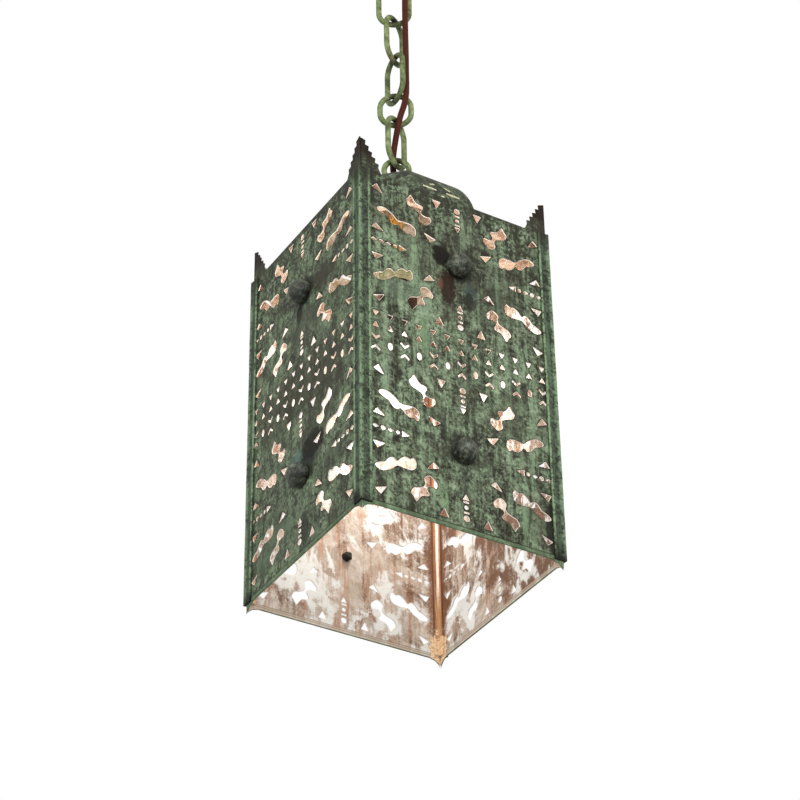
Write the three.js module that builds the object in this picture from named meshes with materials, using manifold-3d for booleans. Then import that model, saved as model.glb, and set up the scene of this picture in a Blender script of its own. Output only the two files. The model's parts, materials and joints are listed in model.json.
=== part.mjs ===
// A square pierced-copper pendant lantern on a chain, in millimetres, +Z up.
// The origin is the middle of the ceiling plate's upper face, and the lantern hangs below it.
import * as THREE from 'three';
import { mergeVertices } from 'three/addons/utils/BufferGeometryUtils.js';
import Module from 'manifold-3d';

const wasm = await Module();
wasm.setup();

// Clearance between two pieces that touch.
const seat = 0.3;

// Lantern body: a square of pierced sheets with copper corner strips.
const bodyWidth = 216;
const bodyHeight = 383;
const sheet = 1.2;
const hemHeight = 4;
const hemRise = 0.8;

// Spires that the sheets form above each corner, and the small points below it.
const spireHeight = 39;
const spireFoot = 24.5;
const spireSteps = 5;
const spireStepRise = 6.2;
const spireStepRun = 3.7;
const spireUndercut = 0.8;
const spireFirstStep = 11.3;
const pointDrop = 9;
const pointWidth = 14;

// Corner strips outside and angles inside.
const stripLeg = 10.5;
const stripThickness = 1.3;
const stripBead = 0.8;
const stripBeadWidth = 2.6;
const stripFoot = 0.6;
const angleLeg = 7;
const angleThickness = 1;
const angleTopClearance = 12;

// Pierced pattern: a tile round each knob and a belt of small cuts between them. Across the sheet it is
// laid out for a pattern half this wide, and spreads with the room between the strips.
const patternHalf = 97.5;
const upperTileDepth = 83;
const lowerTile = 85.3;
const beltPitch = 15.5;
const beltColumns = 13;
const beltRows = [19.8, 7.3];
const beltTriangle = { half: 3.1, height: 5.6 };
const beltOval = { x: 2.7, z: 4.4, level: -13.3 };

// Knobs with their studs and nuts.
const knobRadius = 12.5;
const knobCentre = 4.5;
const studRadius = 2.8;
const studReach = 8;
const studHole = 3.3;
const nutFlats = 9;
const nutThickness = 4;

// Roof: a deck with a lip between the sheets, and an eight-sided dome on it.
const deckDepth = 1.5;
const deckLip = 6;
const deckMargin = 24;
const domeMargin = 17.2;
const domeRise = 75.6;
const domeWaist = 0.589;
const domeBelly = 1.19;
const domeCap = 24;
const domeFlange = 6;
const domeSheet = 1.4;
const domeSlot = { length: 16, height: 2.6, level: 28, offset: 13.5 };
const domeLash = { length: 7, height: 2.2, level: 36.5, offset: 9, tilt: 0.5 };
const roofScrewRadius = 1.6;
const roofScrewHead = 3.2;
const roofScrewReach = 7;

// Hanging loop on the roof, its collar and the pipe down to the lamp holder.
const wire = 6;
const loopOuter = 32;
const loopRise = 51.4;
const neckRadius = 5;
const neckHole = 5.4;
const collarRadius = 8;
const collarHeight = 14;
const washerRadius = 8;
const washerThickness = 1.5;
const lockNutFlats = 15;
const lockNutThickness = 5;
const couplingRadius = 7.5;
const couplingHeight = 18;
const neckReach = 8;
const pipeRadius = 5;
const pipeBore = 3.6;

// Lamp holder and lamp.
const holderDepth = 88.6;
const holderCapHeight = 25;
const holderRadius = 19.5;
const holderBody = 60;
const holderWall = 1.6;
const coreDepth = 20;
const coreHeight = 34;
const screwShellRadius = 14.2;
const screwShellWall = 0.5;
const screwShellHeight = 24;
const contactRadius = 4;
const lampCapRadius = 13.1;
const lampCapHeight = 22;
const lampLength = 86;
const lampRadius = 30;
const glassWall = 1;
const glassNeck = 12;

// Chain, from the canopy loop down to the roof loop, with room for each link to swing on the next.
const chainTop = 72.5;
const linkPlay = 0.5;
const linkWidth = 39;
const longPitch = 54.5;
const roundPitch = 34.5;
const linkPitches = [longPitch, longPitch, longPitch, roundPitch, longPitch];
const facing = -31.6;
const linkTurns = [0, 60, 120, 0, 60];
const canopyLoopTurn = 120;

// Ceiling plate, canopy and the fittings between them.
const plateMargin = 8;
const plateThickness = 2.5;
const plateScrewEdge = 9.55;
const plateSlot = { length: 9, half: 2.7 };
const bossRadius = 9;
const bossHeight = 7;
const canopyRadius = 62;
const canopyDepth = 28;
const canopyFlat = 22;
const canopySheet = 1.2;
const canopyCollarHeight = 8;
const canopyNippleReach = 14;

// Cord: its size, and where it leaves the canopy and enters the roof, seen along the round link's face.
const cordRadius = 3.25;
const bootRadius = 5;
const bootTip = 4;
const bootLength = 22;
const bootShank = 3;
const canopyExit = { side: 12.5, rear: -7.6 };
const roofEntry = { side: 0, rear: 13.5 };
const leadHole = 5.2;

// Colours.
const verdigris = { color: 0x5f7563, roughness: 0.75, metalness: 0.35 };
const paleVerdigris = { color: 0x8fa878, roughness: 0.7, metalness: 0.2 };
const darkKnob = { color: 0x35403c, roughness: 0.55, metalness: 0.5 };
const copper = { color: 0xb98e74, roughness: 0.45, metalness: 0.85 };
const blackSteel = { color: 0x22201e, roughness: 0.6, metalness: 0.6 };
const brass = { color: 0xb59a5b, roughness: 0.4, metalness: 0.9 };
const brownPlastic = { color: 0x2e211b, roughness: 0.5, metalness: 0 };
const porcelain = { color: 0xe9e4da, roughness: 0.35, metalness: 0 };
const frosted = { color: 0xfff3dc, roughness: 0.3, metalness: 0 };
const jacket = { color: 0x4a211a, roughness: 0.55, metalness: 0 };

const halfBody = bodyWidth / 2;
const upperTile = bodyHeight - upperTileDepth;
const beltMiddle = (upperTile + lowerTile) / 2;
const patternSpread = (halfBody - stripLeg) / patternHalf;
const deckTop = bodyHeight - deckDepth;
const deckOpening = halfBody - deckMargin;
const domeInradius = halfBody - domeMargin;
const domeTop = bodyHeight + domeRise;
const holderTop = domeTop - holderDepth;
const loopContact = domeTop + loopRise;
const dropToBody = linkPitches.reduce((sum, pitch) => sum + pitch, loopContact + chainTop);
const plateRadius = canopyRadius - plateMargin;
const plateScrewSpacing = 2 * (plateRadius - plateScrewEdge);
const root = new THREE.Group();
root.name = 'pendant_lantern';
const lantern = new THREE.Group();
lantern.position.z = -dropToBody;
root.add(lantern);

function addPiece(parent, name, geometry, finish) {
  const piece = new THREE.Mesh(geometry, new THREE.MeshStandardMaterial(finish));
  piece.name = name;
  parent.add(piece);
  return piece;
}

// Closed-mesh joins and cuts.
function toSolid(geometry) {
  const bare = geometry.clone();
  bare.deleteAttribute('normal');
  bare.deleteAttribute('uv');
  const merged = mergeVertices(bare, 1e-4);
  return new wasm.Manifold(new wasm.Mesh({
    numProp: 3,
    vertProperties: new Float32Array(merged.attributes.position.array),
    triVerts: new Uint32Array(merged.index.array),
  }));
}

function toGeometry(solid) {
  const mesh = solid.getMesh();
  const geometry = new THREE.BufferGeometry();
  geometry.setAttribute('position', new THREE.BufferAttribute(new Float32Array(mesh.vertProperties), 3));
  geometry.setIndex(new THREE.BufferAttribute(new Uint32Array(mesh.triVerts), 1));
  return geometry;
}

function join(first, ...others) {
  return toGeometry(others.reduce((sum, other) => sum.add(toSolid(other)), toSolid(first)));
}

function cut(body, ...tools) {
  return toGeometry(tools.reduce((rest, tool) => rest.subtract(toSolid(tool)), toSolid(body)));
}

// Round stock along Z from a profile of radii and heights, listed either way round.
function turned(profile, sides = 10) {
  const points = profile.map(([r, z]) => new THREE.Vector2(r, z));
  const area = points.reduce((sum, p, k) => sum + p.cross(points[(k + 1) % points.length]), 0);
  return new THREE.LatheGeometry(area < 0 ? points.reverse() : points, sides).rotateX(Math.PI / 2);
}

function rod(radius, low, high, sides = 10) {
  return turned([[0, low], [radius, low], [radius, high], [0, high]], sides);
}

function ring(inner, outer, low, high, sides = 10) {
  return turned([[inner, low], [outer, low], [outer, high], [inner, high], [inner, low]], sides);
}

function block(x, y, z, cx, cy, cz) {
  return new THREE.BoxGeometry(x, y, z).translate(cx, cy, cz);
}

// A flat polygon as a plate of the given thickness from z = low, and the same with holes punched.
function plate(outline, low, thickness) {
  const shape = new THREE.Shape(outline.map(([x, y]) => new THREE.Vector2(x, y)));
  return new THREE.ExtrudeGeometry(shape, { depth: thickness, bevelEnabled: false }).translate(0, 0, low);
}

function punched(outline, holes, low, thickness) {
  return cut(plate(outline, low, thickness), ...holes.map((hole) => plate(hole, low - 1, thickness + 2)));
}

function polygon(radius, sides, turn = 0, cx = 0, cy = 0) {
  return Array.from({ length: sides }, (_, k) => {
    const angle = (2 * Math.PI * k) / sides + turn;
    return [cx + radius * Math.cos(angle), cy + radius * Math.sin(angle)];
  });
}

function hexNut(flats, bore, low, high) {
  const hole = polygon(bore / Math.cos(Math.PI / 6), 6, Math.PI / 6);
  return punched(polygon(flats / Math.sqrt(3), 6, Math.PI / 6), [hole], low, high - low);
}

// Places seen along the round link's face: side runs to its right, rear runs away from it.
function place(side, rear) {
  const turn = THREE.MathUtils.degToRad(facing);
  return [side * Math.cos(turn) - rear * Math.sin(turn), side * Math.sin(turn) + rear * Math.cos(turn)];
}

// Two-lobed slot: a wide lobe near the knob, a narrow waist and a smaller lobe with a blunt tip.
function boneSlot([ax, ay], ra, [bx, by], rb, waist, bow) {
  const length = Math.hypot(bx - ax, by - ay);
  const [dx, dy] = [(bx - ax) / length, (by - ay) / length];
  const at = (along, across) => [ax + dx * along - dy * across, ay + dy * along + dx * across];
  const middle = length * 0.55;
  return [
    at(ra * 0.6, -ra), at(-ra * 0.8, -ra * 0.6), at(-ra * 0.8, ra * 0.6), at(ra * 0.6, ra),
    at(middle, bow + waist), at(length, rb), at(length + rb * 1.6, 0), at(length, -rb), at(middle, bow - waist),
  ];
}

// One quarter of a tile, to the right of and above or below the knob.
function tileQuarter(up) {
  const reach = up ? 0 : 4.5;
  const tuck = up ? 0 : 2.4;
  return [
    boneSlot([54 + reach, 27 + reach * 0.7], 6, [83.5 + reach, 38.8 + reach * 0.7], 3.9, 2.6, -1.8),
    boneSlot([36.3, 44.5 - tuck], 6.2, [49.6, 62 - tuck], 5, 2.6, -0.4),
    [[19, 75], [28, 75], [23.5, 66.2]],
    up ? [[90.5, 69.2], [95.5, 64], [84.5, 59.4]] : [[89.5, 72], [95.3, 67.2], [83.6, 62.9]],
    up ? [[91.9, 20.4], [96.2, 14.5], [84, 13.4]] : [[92.5, 23.4], [96.6, 16.3], [84.3, 16.4]],
    up ? [[25.5, 25.5], [38.3, 29.3], [32, 20.4]] : [[33.7, 20.4], [28.3, 25.4], [40, 29]],
  ];
}

// The cross of small cuts through the middle of a tile: a column above and below, a row to each side.
function tileCross() {
  const column = [
    [[-3.2, 50.6], [3.2, 50.6], [0, 44.6]], polygon(3.1, 5, Math.PI / 2, 0, 70.6),
  ];
  const row = [
    [[58.5, 0], [66.5, 3.2], [66.5, -3.2]], [[91, 0], [94.6, 2], [97.4, 0], [94.6, -2]],
  ];
  return { column, row };
}

function mirrored(outline, sx, sy) {
  return outline.map(([x, y]) => [x * sx, y * sy]);
}

function tileCuts(level) {
  const cross = tileCross();
  const cuts = [];
  for (const sx of [1, -1]) {
    cuts.push(...tileQuarter(true).map((cutout) => mirrored(cutout, sx, 1)));
    cuts.push(...tileQuarter(false).map((cutout) => mirrored(cutout, sx, -1)));
    cuts.push(...cross.row.map((cutout) => mirrored(cutout, sx, 1)));
    cuts.push(...cross.column.map((cutout) => mirrored(cutout, 1, sx)));
  }
  return cuts.map((cutout) => cutout.map(([x, z]) => [x * patternSpread, z + level]));
}

// Two rows of triangles, tip to tip, with an oval under every second one.
function beltCuts() {
  const cuts = [];
  const { half, height } = beltTriangle;
  const [upper, lower] = beltRows.map((level) => beltMiddle + level);
  for (let k = 0; k < beltColumns; k += 1) {
    const x = (k - (beltColumns - 1) / 2) * beltPitch * patternSpread;
    cuts.push([[x - half, upper + height / 2], [x + half, upper + height / 2], [x, upper - height / 2]]);
    cuts.push([[x - half, lower - height / 2], [x + half, lower - height / 2], [x, lower + height / 2]]);
    if (k % 2 === 1) {
      cuts.push(polygon(1, 4).map(([px, pz]) => [x + px * beltOval.x, beltMiddle + beltOval.level + pz * beltOval.z]));
    }
  }
  return cuts;
}

// Stepped edge of a spire, from its foot on the shoulder up to the tip: distance from the corner, height.
function spireEdge() {
  const edge = [[spireFoot, 0], [spireFoot - 3.2, spireFirstStep - 4.8]];
  for (let k = 0; k < spireSteps; k += 1) {
    const out = spireFoot - 2.6 - k * spireStepRun;
    const level = spireFirstStep + k * spireStepRise;
    edge.push([out, level]);
    if (k < spireSteps - 1) {
      edge.push([out - spireStepRun - spireUndercut, level + 0.7]);
    }
  }
  return edge;
}

// Outline of one sheet, seen from outside. Its left edge stops at the next sheet's inner face.
function sheetOutline() {
  const left = -halfBody + sheet + seat;
  const right = halfBody;
  const edge = spireEdge();
  const hollow = [[pointWidth, 0], [pointWidth * 0.45, -pointDrop * 0.26], [pointWidth * 0.18, -pointDrop * 0.62]];
  return [
    [left, -pointDrop * 0.9], ...hollow.slice().reverse().map(([x, z]) => [-halfBody + x, z]),
    ...hollow.map(([x, z]) => [halfBody - x, z]), [right, -pointDrop],
    [right, bodyHeight + spireHeight], ...edge.slice().reverse().map(([x, z]) => [right - x, bodyHeight + z]),
    ...edge.map(([x, z]) => [-halfBody + x, bodyHeight + z]), [left, bodyHeight + spireHeight - 1.2],
  ];
}

function piercedSheet() {
  const studs = [upperTile, lowerTile].map((level) => polygon(studHole / Math.cos(Math.PI / 6), 6, 0, 0, level));
  const cuts = [...tileCuts(upperTile), ...tileCuts(lowerTile), ...beltCuts(), ...studs];
  const flat = punched(sheetOutline(), cuts, -sheet, sheet).rotateX(Math.PI / 2).translate(0, -halfBody, 0);
  const hemLength = bodyWidth - 2 * (stripLeg + seat + 0.5);
  const hemDepth = hemRise + sheet / 2;
  return join(flat, block(hemLength, hemDepth, hemHeight, 0, -halfBody - hemRise + hemDepth / 2, hemHeight / 2));
}

// Strip over a corner of the square, at its lower left corner: beads along both free edges.
function cornerStrip() {
  const face = -seat - stripThickness;
  const bead = face - stripBead;
  const leg = [
    [stripLeg, -seat], [stripLeg, face], [stripLeg - stripBeadWidth * 0.25, bead],
    [stripLeg - stripBeadWidth * 0.75, bead], [stripLeg - stripBeadWidth, face], [1.2, face],
  ];
  const outline = [[-seat, -seat], ...leg, [bead, bead], ...leg.slice().reverse().map(([x, y]) => [y, x])];
  const placed = outline.map(([x, y]) => [x - halfBody, y - halfBody]);
  return plate(placed, stripFoot, bodyHeight - stripFoot);
}

function innerAngle() {
  const near = sheet + seat;
  const far = near + angleThickness;
  const end = near + angleLeg;
  const outline = [[near, near], [end, near], [end, far], [far, far], [far, end], [near, end]];
  const placed = outline.map(([x, y]) => [x - halfBody, y - halfBody]);
  return plate(placed, hemHeight, bodyHeight - angleTopClearance - hemHeight);
}

// Knob with its stud and nut, in its own frame: Y = 0 is the sheet's outer face, the ball is on the -Y side.
function knob() {
  const profile = [[0, sheet + studReach], [studRadius, sheet + studReach], [studRadius, -seat]];
  const start = Math.acos((knobCentre - seat) / knobRadius);
  const steps = 4;
  for (let k = 0; k < steps; k += 1) {
    const angle = start + ((Math.PI - start) * k) / steps;
    profile.push([knobRadius * Math.sin(angle), -knobCentre + knobRadius * Math.cos(angle)]);
  }
  profile.push([0, -knobCentre - knobRadius]);
  const nut = plate(polygon(nutFlats / Math.sqrt(3), 6, Math.PI / 6), sheet + seat, nutThickness);
  return join(turned(profile, 8), nut).rotateX(-Math.PI / 2);
}

// Eight-sided solid from a stack of inradii and heights.
function eightSided(stack) {
  const corners = [];
  for (const [inradius, level] of stack) {
    corners.push(...polygon(inradius / Math.cos(Math.PI / 8), 8, Math.PI / 8).map(([x, y]) => [x, y, level]));
  }
  const faces = [];
  for (let row = 0; row < stack.length - 1; row += 1) {
    for (let k = 0; k < 8; k += 1) {
      const [a, b] = [row * 8 + k, row * 8 + ((k + 1) % 8)];
      faces.push(a, b, b + 8, a, b + 8, a + 8);
    }
  }
  for (let k = 1; k < 7; k += 1) {
    const top = (stack.length - 1) * 8;
    faces.push(0, k + 1, k, top, top + k, top + k + 1);
  }
  const geometry = new THREE.BufferGeometry();
  geometry.setAttribute('position', new THREE.Float32BufferAttribute(corners.flat(), 3));
  geometry.setIndex(faces);
  return geometry;
}

// Inradius of the dome at an angle from its foot to its crown, and the height there.
function domeStack(shrink, foot) {
  const stack = [[domeInradius - shrink, foot]];
  for (const degrees of [12, 22.4, 36.8, 54, 73]) {
    const angle = THREE.MathUtils.degToRad(degrees);
    stack.push([domeInradius * Math.cos(angle) ** domeWaist - shrink,
      bodyHeight + domeRise * Math.sin(angle) ** domeBelly - shrink]);
  }
  stack.push([domeCap - shrink * 0.5, domeTop - shrink]);
  return stack;
}

function dome() {
  const foot = deckTop + seat;
  const outer = eightSided(domeStack(0, foot));
  const inner = eightSided(domeStack(domeSheet, foot - 1));
  const flange = eightSided([[domeInradius + domeFlange, foot], [domeInradius + domeFlange, foot + domeSheet]]);
  const tools = [inner, rod(neckHole, domeTop - 5, domeTop + 5)];
  const [bx, by] = place(roofEntry.side, roofEntry.rear);
  tools.push(rod(bootRadius + seat, domeTop - 5, domeTop + 5).translate(bx, by, 0));
  for (let gore = 0; gore < 8; gore += 1) {
    const turn = (gore * Math.PI) / 4;
    const level = bodyHeight + domeSlot.level;
    for (const side of [-1, 1]) {
      tools.push(block(domeSlot.length, 24, domeSlot.height, side * domeSlot.offset, -domeInradius, level).rotateZ(turn));
      const lash = block(domeLash.length, 24, domeLash.height, 0, 0, 0).rotateY(side * domeLash.tilt);
      lash.translate(side * domeLash.offset, -domeInradius + 6, bodyHeight + domeLash.level);
      tools.push(lash.rotateZ(turn));
    }
  }
  for (const [x, y] of roofScrewPlaces()) {
    tools.push(rod(roofScrewRadius + seat, foot - 5, foot + 5, 6).translate(x, y, 0));
  }
  return cut(join(outer, flange), ...tools);
}

// The flange is screwed to the deck in the middle of four of its sides.
function roofScrewPlaces() {
  return polygon(domeInradius + domeFlange / 2 + 0.4, 4);
}

function roofDeck() {
  const outer = halfBody - sheet - seat;
  const square = [[-outer, -outer], [outer, -outer], [outer, outer], [-outer, outer]];
  const opening = polygon(deckOpening / Math.cos(Math.PI / 8), 8, Math.PI / 8);
  const holes = roofScrewPlaces().map(([x, y]) => polygon(roofScrewRadius + seat, 6, 0, x, y));
  const top = punched(square, [opening, ...holes], deckTop - sheet, sheet);
  const inner = outer - sheet;
  const inside = [[-inner, -inner], [inner, -inner], [inner, inner], [-inner, inner]];
  return join(top, punched(square, [inside], deckTop - deckLip, deckLip - sheet / 2));
}

function roofScrew() {
  const base = deckTop + seat + domeSheet + seat;
  return turned([[0, base - roofScrewReach], [roofScrewRadius, base - roofScrewReach], [roofScrewRadius, base],
    [roofScrewHead, base], [roofScrewHead * 0.75, base + 1.6], [0, base + 1.8]], 6);
}

// Wire bent into a closed loop in the XZ plane: two half circles joined by straights.
function wireLoop(width, pitch, centre, arcSteps = 7) {
  const bend = (width - wire) / 2;
  const straight = Math.max(pitch + wire - 2 * bend, 0) / 2;
  const last = straight > 0.01 ? arcSteps : arcSteps - 1;
  const stations = [];
  for (const [way, start] of [[1, 0], [-1, Math.PI]]) {
    for (let k = 0; k <= last; k += 1) {
      const angle = start + (Math.PI * k) / arcSteps;
      stations.push([Math.cos(angle), Math.sin(angle), way * straight]);
    }
  }
  const sides = 8;
  const points = [];
  for (const [c, s, lift] of stations) {
    for (let k = 0; k < sides; k += 1) {
      const angle = (2 * Math.PI * (k + 0.5)) / sides;
      const reach = bend + (wire / 2) * Math.cos(angle);
      points.push(reach * c, (wire / 2) * Math.sin(angle), centre + lift + reach * s);
    }
  }
  const faces = [];
  const count = stations.length;
  for (let row = 0; row < count; row += 1) {
    for (let k = 0; k < sides; k += 1) {
      const [a, b] = [row * sides + k, row * sides + ((k + 1) % sides)];
      const [c, d] = [((row + 1) % count) * sides + k, ((row + 1) % count) * sides + ((k + 1) % sides)];
      faces.push(a, b, c, b, d, c);
    }
  }
  const geometry = new THREE.BufferGeometry();
  geometry.setAttribute('position', new THREE.Float32BufferAttribute(points, 3));
  geometry.setIndex(faces);
  return mergeVertices(geometry, 1e-4);
}

// Turn about Z of a link whose plane is the given number of degrees from the round link's.
function linkAngle(turn) {
  return THREE.MathUtils.degToRad(facing + turn);
}

// Height of the point where each link hangs on the one above, from the lowest contact up.
function contactLevels() {
  const levels = [loopContact - dropToBody];
  for (const pitch of linkPitches.slice().reverse()) {
    levels.unshift(levels[0] + pitch);
  }
  return levels;
}

// Lantern loop: a cast ring on a round neck that passes through the crown of the dome.
function roofLoop() {
  const centre = loopContact + linkPlay / 2 + wire - loopOuter / 2;
  const hoop = wireLoop(loopOuter, loopOuter - 2 * wire, centre).rotateZ(linkAngle(0));
  const bottom = domeTop - domeSheet - seat - washerThickness - lockNutThickness - neckReach;
  return join(hoop, rod(neckRadius, bottom, centre - loopOuter / 2 + wire * 0.8));
}

function loopCollar() {
  const low = domeTop + seat;
  return turned([[neckHole, low], [collarRadius, low], [collarRadius, low + 3],
    [collarRadius - 1.6, low + 4.5], [collarRadius - 0.8, low + collarHeight - 4],
    [collarRadius - 2, low + collarHeight], [neckHole, low + collarHeight], [neckHole, low]], 12);
}

function addBody() {
  const names = ['front', 'right', 'back', 'left'];
  const corners = ['front_left', 'front_right', 'back_right', 'back_left'];
  const flat = piercedSheet();
  const strip = cornerStrip();
  const angle = innerAngle();
  names.forEach((name, side) => {
    const turned90 = new THREE.Group();
    turned90.rotation.z = (side * Math.PI) / 2;
    lantern.add(turned90);
    addPiece(turned90, `panel_${name}`, flat, verdigris);
    addPiece(turned90, `corner_strip_${corners[side]}`, strip, verdigris);
    addPiece(turned90, `inner_angle_${corners[side]}`, angle, copper);
    for (const [level, where] of [[upperTile, 'upper'], [lowerTile, 'lower']]) {
      const ball = addPiece(turned90, `knob_${name}_${where}`, knob(), darkKnob);
      ball.position.set(0, -halfBody, level);
    }
  });
}

function addRoof() {
  addPiece(lantern, 'roof_deck', roofDeck(), verdigris);
  addPiece(lantern, 'roof_dome', dome(), verdigris);
  roofScrewPlaces().forEach(([x, y], index) => {
    addPiece(lantern, `roof_screw_${index + 1}`, roofScrew(), blackSteel).position.set(x, y, 0);
  });
  addPiece(lantern, 'roof_loop', roofLoop(), paleVerdigris);
  addPiece(lantern, 'loop_collar', loopCollar(), paleVerdigris);
  const washerTop = domeTop - domeSheet - seat;
  const washerLow = washerTop - washerThickness;
  addPiece(lantern, 'crown_washer', ring(neckHole, washerRadius, washerLow, washerTop), brass);
  const nutTop = washerLow - seat;
  const nutLow = nutTop - lockNutThickness;
  addPiece(lantern, 'lock_nut', hexNut(lockNutFlats, neckRadius + seat, nutLow, nutTop), brass);
  return nutLow - seat;
}

// Pipe, lamp holder and lamp, below the coupling's top level.
function addLamp(couplingTop) {
  const couplingLow = couplingTop - couplingHeight;
  addPiece(lantern, 'pipe_coupling', ring(neckHole, couplingRadius, couplingLow, couplingTop), brass);
  const neckEnd = domeTop - domeSheet - seat - washerThickness - lockNutThickness - neckReach;
  const pipeLow = holderTop - holderWall * 2;
  addPiece(lantern, 'drop_pipe', ring(pipeBore, pipeRadius, pipeLow, neckEnd - seat), brass);

  const capLow = holderTop - holderCapHeight;
  const [lx, ly] = place(roofEntry.side, roofEntry.rear);
  const cap = turned([
    [neckHole, holderTop - holderWall], [neckHole, holderTop], [holderRadius - 2, holderTop],
    [holderRadius, holderTop - 2.5], [holderRadius, capLow], [holderRadius - holderWall, capLow],
    [holderRadius - holderWall, holderTop - 4], [holderRadius - 4, holderTop - holderWall],
    [neckHole, holderTop - holderWall]]);
  const boss = rod(leadHole - 1, holderTop - holderWall, holderTop + 2, 10).translate(lx, ly, 0);
  addPiece(lantern, 'holder_cap', join(cap, boss), paleVerdigris);

  const shellTop = capLow - seat;
  const shellLow = capLow - holderBody;
  const shellIn = holderRadius - holderWall;
  addPiece(lantern, 'holder_shell', turned([
    [shellIn, shellTop], [holderRadius - 0.6, shellTop], [holderRadius - 0.6, shellLow + 6],
    [holderRadius - 1, shellLow + 5], [holderRadius - 1, shellLow], [lampCapRadius + 2.2, shellLow],
    [lampCapRadius + 2.2, shellLow + 2], [shellIn, shellLow + 3], [shellIn, shellTop]]), brownPlastic);

  const coreTop = shellTop - coreDepth;
  const coreLow = coreTop - coreHeight;
  const coreIn = screwShellRadius + seat;
  addPiece(lantern, 'holder_core', turned([
    [0, coreTop], [shellIn - seat, coreTop], [shellIn - seat, coreLow], [coreIn, coreLow],
    [coreIn, coreLow + screwShellHeight + seat], [contactRadius + 4, coreLow + screwShellHeight + seat],
    [contactRadius + 4, coreLow + screwShellHeight + 3], [0, coreLow + screwShellHeight + 3]]), porcelain);
  addPiece(lantern, 'screw_shell', ring(screwShellRadius - screwShellWall, screwShellRadius,
    coreLow, coreLow + screwShellHeight), brass);
  const contactTop = coreLow + screwShellHeight + 3 - seat;
  const lampTop = contactTop - 2 - seat;
  addPiece(lantern, 'centre_contact', rod(contactRadius, contactTop - 2, contactTop, 8), brass);

  const capBase = lampTop - 3;
  addPiece(lantern, 'lamp_cap', turned([
    [0, lampTop], [3.2, lampTop], [6, capBase], [lampCapRadius - 1, capBase], [lampCapRadius, capBase - 3],
    [lampCapRadius, capBase - lampCapHeight], [0, capBase - lampCapHeight]]), brass);
  const neckTop = capBase - lampCapHeight - seat;
  addPiece(lantern, 'lamp_mount', turned([
    [0, neckTop], [5, neckTop], [4, neckTop - 14], [2.5, neckTop - 24], [1.2, neckTop - 44],
    [0, neckTop - 45]], 8), porcelain);
  addPiece(lantern, 'lamp_glass', lampGlass(neckTop), frosted);
}

// Pear-shaped glass, open at its neck where it is cemented into the cap.
function lampGlass(top) {
  const globe = top - lampLength + lampRadius;
  const outer = [[glassNeck, top], [glassNeck + 1.5, top - 12], [glassNeck + 7, top - 27]];
  for (const degrees of [20, -10, -40, -68]) {
    const angle = THREE.MathUtils.degToRad(degrees);
    outer.push([lampRadius * Math.cos(angle), globe + lampRadius * Math.sin(angle)]);
  }
  const inner = outer.filter((_, k) => k < 4 || k === 5).map(([r, z]) => [r - glassWall, z]).reverse();
  inner[inner.length - 1][1] = top;
  const tip = top - lampLength;
  return turned([...outer, [0, tip], [0, tip + glassWall], ...inner, outer[0]]);
}

// Tapered moulding where the cord enters metal: a shank through the sheet and a boot outside it.
function cordBoot(surface, way) {
  const profile = [[0, surface - way * bootShank], [bootRadius, surface - way * bootShank],
    [bootRadius, surface + way * 4], [bootTip, surface + way * bootLength], [0, surface + way * bootLength]];
  return turned(profile, 10);
}

function addChain(levels) {
  linkPitches.forEach((pitch, index) => {
    const centre = (levels[index] + levels[index + 1]) / 2;
    const link = wireLoop(linkWidth, pitch + linkPlay, centre);
    addPiece(root, `chain_link_${index + 1}`, link.rotateZ(linkAngle(linkTurns[index])), paleVerdigris);
  });
}

function ceilingPlate() {
  const slots = [1, -1].map((way) => {
    const x = (way * plateScrewSpacing) / 2;
    const half = plateSlot.length / 2 - 1.5;
    return [[x - half, -plateSlot.half], [x + half, -plateSlot.half], [x + half, plateSlot.half],
      [x - half, plateSlot.half]];
  });
  const [wx, wy] = place(canopyExit.side, canopyExit.rear);
  const wireWay = polygon(leadHole, 10, 0, wx, wy);
  const disc = punched(polygon(plateRadius, 16), [...slots, wireWay], -plateThickness, plateThickness);
  const boss = rod(bossRadius, -plateThickness - bossHeight, -plateThickness / 2);
  const bore = rod(neckHole, -plateThickness - bossHeight - 1, -plateThickness);
  const clear = rod(leadHole, -20, 1, 10).translate(wx, wy, 0);
  return cut(join(disc, boss), bore, clear);
}

// A ceiling screw, shown up to the ceiling's surface.
function plateScrew() {
  const base = -plateThickness - seat;
  return turned([[0, base - 2.6], [4.6, base - 2.2], [5.2, base], [2.2, base], [2.2, -seat], [0, -seat]], 8);
}

// Spun canopy: a flat crown, a rounded shoulder and a rolled rim just under the ceiling.
function canopy() {
  const rim = -1;
  const low = -canopyDepth;
  const outer = [[neckHole, low], [canopyFlat, low]];
  for (let k = 1; k < 4; k += 1) {
    const angle = (Math.PI / 2) * (k / 4);
    outer.push([canopyFlat + (canopyRadius - canopyFlat - 3) * Math.sin(angle),
      low + (canopyDepth - 4) * (1 - Math.cos(angle)) ** 0.8]);
  }
  outer.push([canopyRadius - 3, rim - 3], [canopyRadius, rim - 2], [canopyRadius, rim]);
  const inner = [[canopyRadius - 4.6, rim], [canopyRadius - 4.6, rim - 3]];
  for (const [r, z] of outer.slice(1, 5).reverse()) {
    inner.push([Math.max(r - canopySheet, neckHole + 1), Math.min(z + canopySheet, rim - 3.2)]);
  }
  inner.push([neckHole, low + canopySheet], [neckHole, low]);
  const shell = turned([...outer, ...inner], 16);
  const [x, y] = place(canopyExit.side, canopyExit.rear);
  return cut(shell, rod(bootRadius + seat, low - 3, low + 5).translate(x, y, 0));
}

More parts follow.
